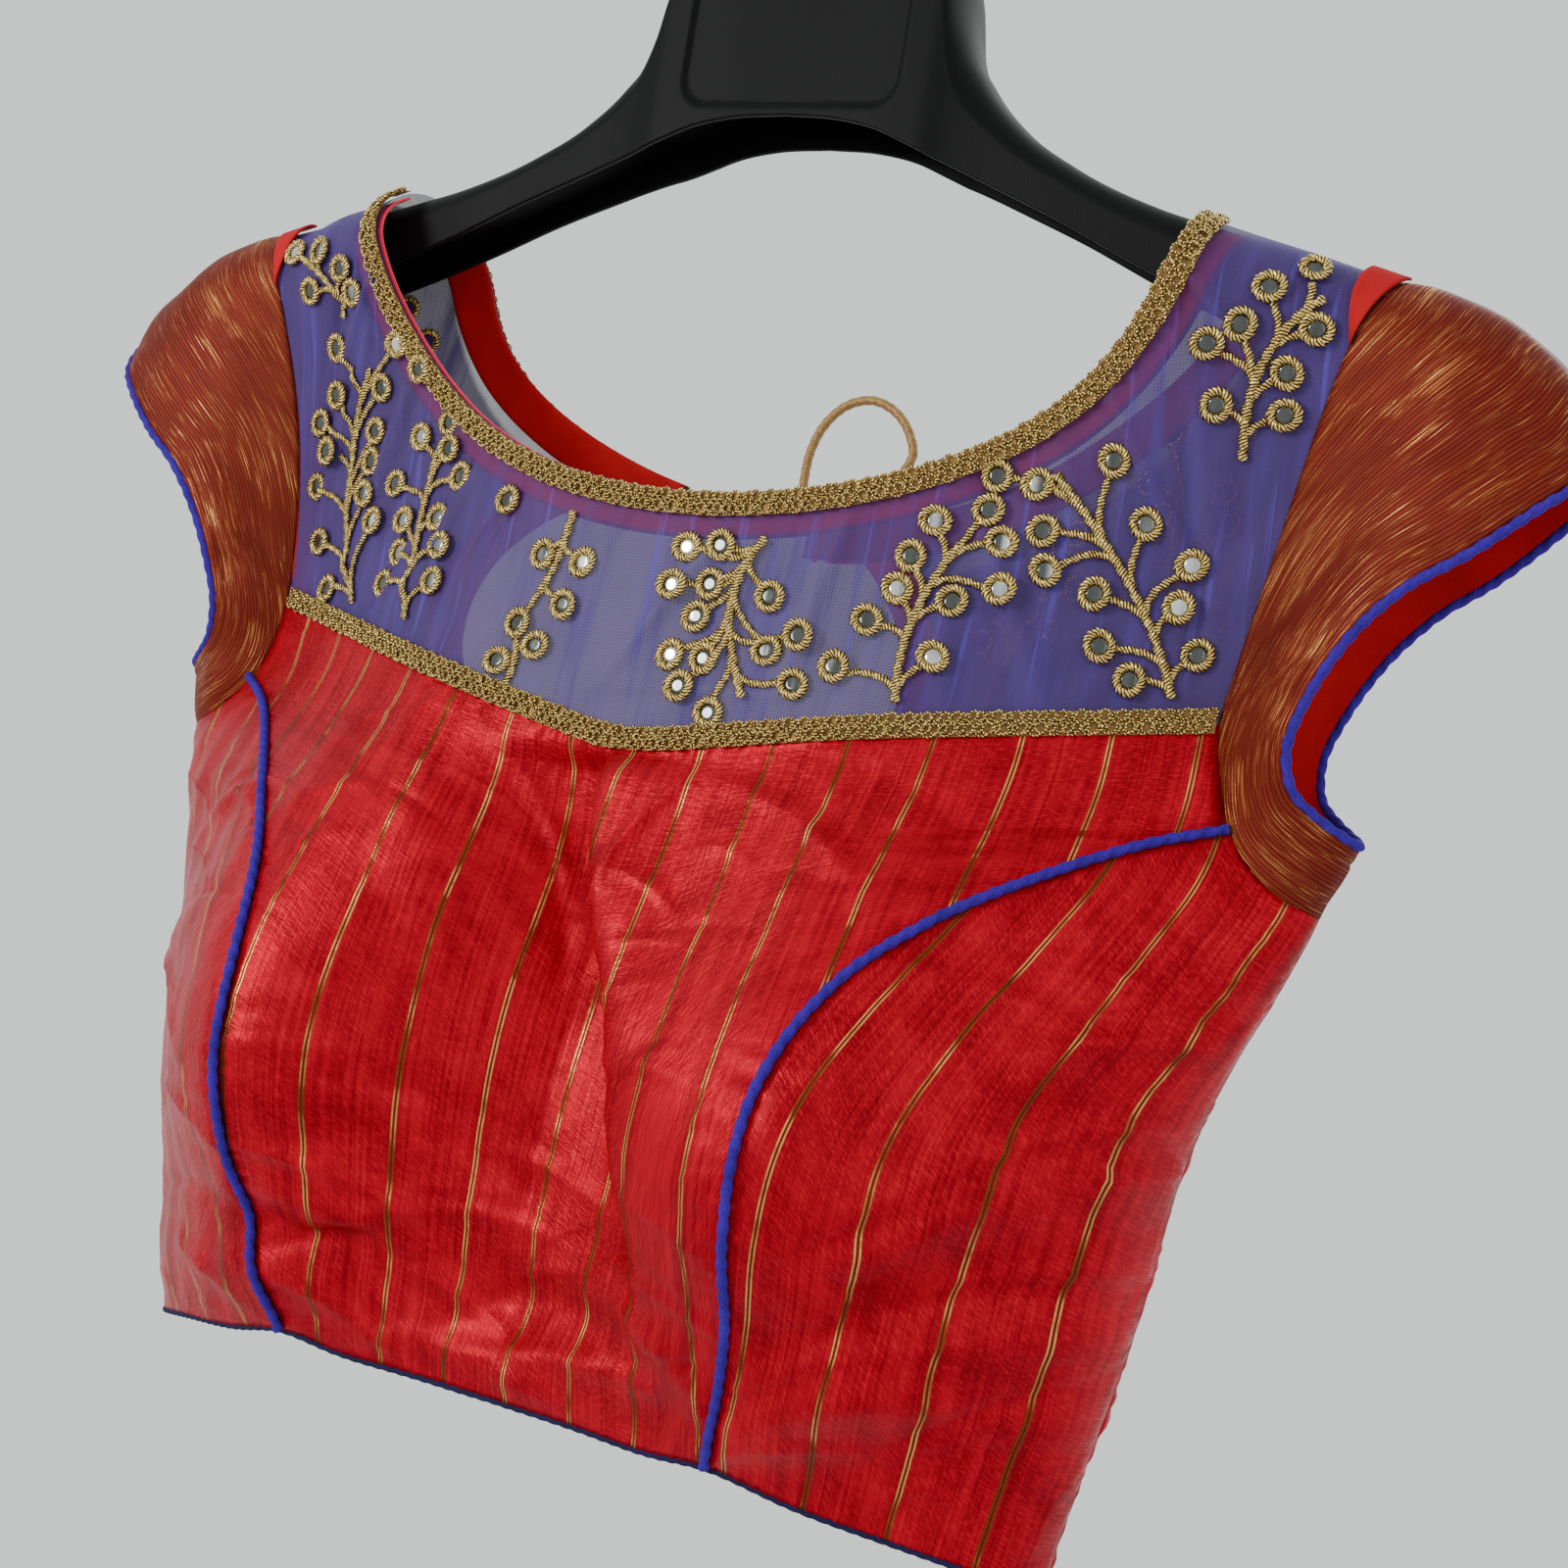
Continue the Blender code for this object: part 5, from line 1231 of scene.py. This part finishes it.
def mirror_disc(centre, out, across, tilt):
    """A mirror: a flat disc with a rounded rim, tipped a little in its ring."""
    upward = np.cross(out, across)
    tipped = unit(out + tilt[0] * across + tilt[1] * upward)
    radius = MIRROR_RADIUS * np.array([0.0, 0.55, 0.96, 1.0])[None, :]
    high = np.array([0.0009, 0.0009, 0.00087, 0.0006])[None, :]
    turn = np.linspace(0.0, 2.0 * np.pi, 25)[:, None]
    return (centre + (radius * np.cos(turn))[..., None] * across
            + (radius * np.sin(turn))[..., None] * upward + high[..., None] * tipped)


def add_joined(name, meshes, finish):
    """A piece of gold trim made of many small meshes."""
    return add_piece(name, join_meshes(name, meshes), [finish])


gold_purl = Finish("gold_purl", metallic=0.9)
stitch_drift = gold_purl.place.noise(700.0, 500.0, 2.0)
stitch = gold_purl.place.axis("X") * 6300.0 + gold_purl.place.axis("Y") * 2600.0 + stitch_drift * 4.0
stitch = stitch.wave()
# The purl's colour is painted light: darker between the stitches and in patches picked by a noise, painted
# shade, and near white gold elsewhere, painted highlight.
purl_glint_noise = gold_purl.place.noise(620.0, 620.0, 2.0, 0.7, 9.0)
purl_light_and_shade = (stitch * 0.42 + purl_glint_noise * 0.85 - 0.14).step(0.30, 0.66)
gold_purl.feed("Base Color", purl_light_and_shade.mix((0.085, 0.036, 0.004), (1.0, 0.76, 0.26)))
gold_purl.feed("Roughness", 0.34 - 0.16 * purl_glint_noise)
gold_purl.bump(stitch * 0.7 + purl_glint_noise * 0.3, 0.00040, 0.9)
glass_mirror = Finish("glass_mirror", "object", metallic=1.0)
# The mirrors' colour is painted reflection: dark on most of them, and near white where a coarse noise picks
# them out.
mirror_cloud = glass_mirror.place.noise(420.0, 420.0, 3.0)
mirror_painted_glare = glass_mirror.place.noise(95.0, 95.0, 1.0).step(0.52, 0.66)
glass_mirror.feed("Base Color", (mirror_cloud * 0.12 + mirror_painted_glare * 0.80).mix((0.05, 0.055, 0.05),
                                                                                 (0.86, 0.88, 0.86)))
glass_mirror.feed("Roughness", 0.06 + 0.16 * mirror_cloud)
glass_mirror.bump(mirror_cloud, 0.0002, 0.25)

mirror_work = {}
for face, word, table in ((-1, "front", FRONT_SPRAYS), (1, "back", BACK_SPRAYS)):
    taken = [np.array(ring_place) for ring_place in (LOOSE_RINGS if face < 0 else ())]
    rings = list(taken)
    stems = []
    for row in table:
        new_stems, new_rings = lay_spray(row, face, taken)
        stems += new_stems
        rings += new_rings
    centres, outs = on_net(rings, face, 0.0001 if face < 0 else -SUNK)
    around = np.linspace(0.0, 2.0 * np.pi * RING_RADIUS, 61)[:, None]
    over = np.linspace(0.0, 2.0 * np.pi * RING_THICKNESS, 10)[None, :]
    ring_map = np.stack(np.broadcast_arrays(around, over), axis=-1)
    ring_meshes = []
    disc_meshes = []
    pick = np.random.default_rng(17 + face)
    for i, (centre, out) in enumerate(zip(centres, outs)):
        across = unit(np.cross(out, UPRIGHT))
        grid = purl_ring(centre, out, across, 100 + i)
        ring_out = (grid - grid.mean(axis=1, keepdims=True))[:, :-1]
        ring_meshes.append(grid_mesh("ring", grid[:, :-1], ring_map + [0.031 * i, 0.0], True, ring_out))
        disc = mirror_disc(centre, out, across, pick.normal(0.0, 0.11, 2))
        disc_meshes.append(grid_mesh("mirror", disc, None, outward=np.broadcast_to(out, disc.shape)))
    cords = []
    for line in stems:
        radius = STEM_RADIUS * (1.0 if len(line) > 40 else SIDE_STEM)
        path, normals = on_net(line, face, 0.40 * radius - (0.0 if face < 0 else SUNK))
        cords.append(cord_mesh("stem", even_path(path, 0.00050), normals.mean(axis=0), radius, strands=3,
                               lay=0.0040, depth=0.30, sides=10, flat=0.55))
    mirror_work[face] = [add_joined("purl_rings_" + word, ring_meshes, gold_purl),
                         add_joined("mirrors_" + word, disc_meshes, glass_mirror),
                         add_joined("stems_" + word, cords, gold_purl)]

# Gold trim
# A gimp of fine gold wire, sewn round the neck and over the front yoke seam. The wire is coiled
# into two rows of small rosettes, on a dull woven band.
TRIM_WIDTH = 0.0075
TRIM_ABOVE_SEAM = 0.0047
WIRE_RADIUS = 0.00036
COIL_PITCH = 0.0016
ROSETTE_PITCH = 0.0048
LOOP_ROWS = ((0.0020, 0.0), (0.0054, 2.4))


def loop_wire(outline, length, row, face, high):
    """One row of rosettes.

    The wire goes round and round as it moves along the band. Its circle grows and shrinks once
    for each rosette, and it rises where it passes over itself.
    """
    across, phase = row
    run = np.linspace(0.0015, length - 0.0015, int(length / COIL_PITCH * 12))
    turn = 2.0 * np.pi * run / COIL_PITCH + phase + 0.7 * waves(run, 0.017, phase)
    beat = 2.0 * np.pi * run / ROSETTE_PITCH + phase + 0.5 * waves(run, 0.029)
    radius = 0.00125 + 0.00062 * np.cos(beat) + 0.00015 * waves(run, 0.0073, phase)
    along = run + radius * np.sin(turn)
    out = across + radius * np.cos(turn)
    points, normals = outline(np.clip(along, 0.0, length), out, face)
    lift = high + WIRE_RADIUS + 0.00070 * np.sin(0.5 * turn + 0.4) ** 2
    lift += 0.0004 * (1.0 - np.abs(np.cos(beat)))
    return points + lift[..., None] * normals, normals


def add_trim(name, line, steps, face):
    """A trim along an outline on the shell: its band, and two rows of rosettes on it."""
    middle = line(steps, 0.5 * TRIM_WIDTH)
    path, _ = shell_frame(*place(*middle), face)
    keys = run_along(path)

    def outline(along, out, face):
        step = np.interp(along, keys, steps)
        x, z = line(step, out)
        points, normals = shell_frame(*place(x, z), face)
        return points + SHOULDER_DROP, normals

    bottom = 0.5 * CLOTH + LAY_GAP
    run = np.linspace(0.0, keys[-1], int(keys[-1] / 0.0016))
    out = np.linspace(0.0003, TRIM_WIDTH - 0.0003, 7)
    along, across = np.meshgrid(run, out, indexing="ij")
    points, normals = outline(along, across, face)
    band_mesh = grid_mesh(name + "_band", points + bottom * normals, np.stack([along, across], axis=-1),
                          outward=normals)
    band = add_piece(name + "_band", band_mesh, [gold_band], [name])
    wires = []
    for row in LOOP_ROWS:
        path, ups = loop_wire(outline, keys[-1], row, face, bottom)
        wires.append(cord_mesh("wire", path, ups, WIRE_RADIUS, 2, 0.0030, 0.10, 5))
    return [band, add_joined(name + "_loops", wires, gold_purl)]


gold_band = Finish("gold_band", metallic=0.7)
band_weave = gold_band.place.noise(900.0, 1500.0, 3.0)
gold_band.feed("Base Color", band_weave.mix((0.10, 0.045, 0.012), (0.48, 0.28, 0.09)))
gold_band.feed("Roughness", 0.62 - 0.15 * band_weave)
gold_band.bump(band_weave, 0.0003, 0.7)

trim_end = YOKE_HALF_WIDTH - 0.0008
front_trims = add_trim("neck_trim_front", front_neck, np.linspace(0.02, np.pi - 0.02, 220), -1)
front_trims += add_trim("yoke_trim_front", lambda x, out: (x, yoke_seam(x) + TRIM_ABOVE_SEAM - out),
                        np.linspace(-trim_end, trim_end, 200), -1)
declare_cloth(*panels["yoke_front"], "hung", [hanger], mirror_work[-1] + front_trims)
for side, tail in SIDES:
    neck_end = keyhole_angles(side)[2]
    trims = add_trim("neck_trim_back_" + tail, back_neck(side), np.linspace(0.02, neck_end - 0.01, 130), 1)
    declare_cloth(*panels["yoke_back_" + tail], "hung", [hanger],
                  trims + (mirror_work[1] if side > 0 else []))

# Sleeves
# Cap sleeves of red tissue, woven with fine broken gold threads that lie along the sleeve's hem,
# and lined with red cotton. Each is a ring, wide over the shoulder and narrow under the arm.
SLEEVE_HALF_DEPTH = 0.024
SLEEVE_CROWN = 0.0095
SLEEVE_FILL = 0.0030
SLEEVE_WALL = 0.0008
STITCH_FROM_HEM = 0.0042


def sleeve_grid(side, turns, rows):
    """Points and outward normals of one cap sleeve, a ring that is narrow under the arm.

    turn goes from 0 on the shoulder to 1 under the arm at the front and on to 2 at the back. Each
    row lies part of the way from the armhole to the sleeve's hem, raised by an arch between them.
    """
    turn = np.asarray(turns)[:, None]
    v = np.asarray(rows)[None, :]
    half = np.where(turn > 1.0, 2.0 - turn, turn)
    face = np.where(turn > 1.0, 1.0, -1.0)
    seam_x, seam_z = armhole(half, 1)
    s, q = place(seam_x, seam_z)
    front, front_normal = shell_frame(s, q, -1)
    back, back_normal = shell_frame(s, q, 1)
    is_back = (face > 0)[..., None]
    seam = np.where(is_back, back, front)
    seam_normal = np.where(is_back, back_normal, front_normal)
    spread = np.sqrt(np.clip(np.sin(np.pi * half), 0.0, 1.0))
    hem = np.stack([read(SLEEVE, SLEEVE_COLUMNS, "hem_x", half), -0.001 + face * SLEEVE_HALF_DEPTH * spread,
                    read(SLEEVE, SLEEVE_COLUMNS, "hem_z", half)], axis=-1)
    arch = 4.0 * v * (1.0 - v)
    lift = arch * SLEEVE_CROWN * np.cos(0.5 * np.pi * half) ** 1.5
    fill = arch * SLEEVE_FILL * np.sin(np.pi * half) * face
    points = seam + (hem - seam) * v[..., None]
    points = points + lift[..., None] * np.array([0.55, 0.0, 0.83]) + fill[..., None] * TO_BACK
    around = np.roll(points, -1, 0) - np.roll(points, 1, 0)
    keep = ease(1.0 - v / 0.2)[..., None]
    normal = unit(np.cross(around, np.gradient(points, axis=1))) * (1.0 - keep) + seam_normal * keep
    mirror = np.array([side, 1.0, 1.0])
    return points * mirror, unit(normal) * mirror


tissue = Finish("zari_tissue", specular_ior_level=0.15)
thread_run = tissue.place.noise(16.0, 2300.0, 2.0, 0.55)
thread_glint = tissue.place.noise(60.0, 4300.0, 2.0, 0.5, 5.0)
tissue_cloud = tissue.place.noise(50.0, 70.0, 3.0, 0.6, 2.0)
thread_rows = (tissue.place.axis("Y") * 5200.0 + tissue_cloud * 5.0).wave()
copper = (thread_run * 0.70 + thread_rows * 0.30).step(0.42, 0.62)
# Glints: short bright gold flecks on the threads, a painted highlight.
glint = (thread_glint * 0.75 + tissue_cloud * 0.25).step(0.580, 0.640)
ground = tissue_cloud.mix((0.060, 0.0016, 0.0016), (0.150, 0.0040, 0.0036))
threaded = (copper * 0.70).mix(ground, (0.21, 0.034, 0.009))
tissue.feed("Base Color", (glint * 0.9).mix(threaded, (0.85, 0.42, 0.12)))
tissue.feed("Metallic", 0.20 + 0.35 * copper + 0.35 * glint)
tissue.feed("Roughness", 0.55 - 0.18 * glint)
tissue.bump(thread_run * 0.8 + glint * 0.3, 0.00028, 0.7)

ring_turns = np.linspace(0.0, 2.0, 201)[:-1]
sleeve_rows = np.linspace(0.0, 1.0, 45)
sleeve_rims = {}
for side, tail in SIDES:
    points, normals = sleeve_grid(side, ring_turns, sleeve_rows)
    sleeve_rims[tail], _ = sleeve_grid(side, np.linspace(0.0, 2.0, 441)[:-1], np.array([0.985, 1.0]))
    _, down = down_grid(points)
    from_hem = down[:, -1:] - down
    hem_run = run_along(points[:, -1])[:, None]
    relief = -0.0005 * np.exp(-((from_hem - STITCH_FROM_HEM) / 0.0007) ** 2)
    swell = waves(hem_run, 0.019) + waves(hem_run, 0.0127, 2.0)
    relief += 0.00022 * swell * np.exp(-from_hem / 0.010) * ease(from_hem / 0.003)
    relief += (ripple(hem_run + 0.0 * down, from_hem, 90 + side, 0.0004)
               * ease(np.minimum(from_hem, down) / 0.006))
    uv = np.stack([np.broadcast_to(hem_run, from_hem.shape), from_hem], axis=-1)
    uv_closed = np.concatenate([uv, uv[:1] + [2.0 * hem_run[-1, 0] - hem_run[-2, 0], 0.0]])
    outer = close_ring(raised(points, normals, 0.5 * CLOTH + relief))
    out = close_ring(normals)
    sleeve = add_piece("sleeve_tissue_" + tail, grid_mesh("sleeve", outer, uv_closed, outward=out),
                       [tissue, tissue], ["sleeve_" + tail], SLEEVE_WALL)
    panels["sleeve_" + tail] = sleeve, close_ring(points)
    inner = close_ring(raised(points, normals, -0.5 * CLOTH - 0.0004)[:, 4::2])
    lining = add_piece("sleeve_red_" + tail,
                       grid_mesh("sleeve_red", inner, uv_closed[:, 4::2], outward=out[:, 4::2]),
                       [red_cotton], ["sleeve_lining_" + tail])
    declare_cloth(lining, inner, "hung", [hanger])

# Piping
# Bright blue twisted cord, sewn into the curved front seams and along the sleeve hems, and a
# narrow dark one along the body's hem.
PIPING_RADIUS = 0.0015
HEM_PIPING_RADIUS = 0.0010
HEM_PIPING_END = 0.1500
BACK_SLIT = 0.0004
PIPING_TWIST = {"radius": 0.9 * PIPING_RADIUS, "lay": 0.0052, "depth": 0.13, "sides": 14}


def blue_cord(name, dark, bright):
    """A soft cotton cord in one colour, with the twist's hollows darker."""
    finish = Finish(name, roughness=0.8, sheen_weight=0.15, sheen_tint=bright, specular_ior_level=0.2)
    fuzz = finish.place.noise(900.0, 2400.0, 2.0)
    cloud = finish.place.noise(90.0, 30.0, 2.0, 0.5, 4.0)
    finish.feed("Base Color", (fuzz * 0.6 + cloud * 0.4).step(0.25, 0.75).mix(dark, bright))
    finish.bump(fuzz, 0.00020, 0.5)
    return finish


blue_finish = blue_cord("blue_piping", (0.012, 0.002, 0.12), (0.050, 0.008, 0.36))
navy_finish = blue_cord("navy_piping", (0.004, 0.003, 0.020), (0.014, 0.010, 0.065))
for side, tail in SIDES:
    points, normals = shell_frame(*place(*princess(np.linspace(0.002, 0.998, 200), side)), -1)
    path = even_path(raised(points, normals, 0.5 * CLOTH + 0.8 * PIPING_RADIUS), 0.0005)
    mesh = cord_mesh("princess_cord", path, normals.mean(axis=0), **PIPING_TWIST)
    curved = add_piece("princess_cord_" + tail, mesh, [blue_finish],
                       ["princess_piping_" + tail])
    rim = sleeve_rims[tail]
    path = raised(rim[:, 1], unit(rim[:, 1] - rim[:, 0]), 0.7 * PIPING_RADIUS)
    mesh = cord_mesh("sleeve_cord", path, np.array([side * 0.9, 0.0, 0.6]), closed=True, **PIPING_TWIST)
    cuff = add_piece("sleeve_cord_" + tail, mesh, [blue_finish], ["sleeve_piping_" + tail])
    declare_cloth(*panels["sleeve_" + tail], "hung", [hanger], [cuff])
    declare_cloth(*panels["front_side_" + tail], "hung", [panels["yoke_front"][0]], [curved])

for name, face, low, high in (("front", -1, -HEM_PIPING_END, HEM_PIPING_END),
                              ("back_l", 1, BACK_SLIT, HEM_PIPING_END),
                              ("back_r", 1, -HEM_PIPING_END, -BACK_SLIT)):
    x = np.linspace(low, high, 260)
    points = shell(*place(x, hem_line(x)), face)
    above = shell(*place(x, hem_line(x) + 0.003), face)
    path = even_path(raised(points, unit(points - above), 0.6 * HEM_PIPING_RADIUS), 0.0007)
    mesh = cord_mesh("hem_cord", path, UPRIGHT, HEM_PIPING_RADIUS, lay=0.0040, depth=0.12)
    hem = add_piece("hem_cord_" + name, mesh, [navy_finish], ["hem_piping_" + name])
    declare_cloth(*panels["front_centre" if face < 0 else name], "hung", [panels["yoke_" + name][0]], [hem])
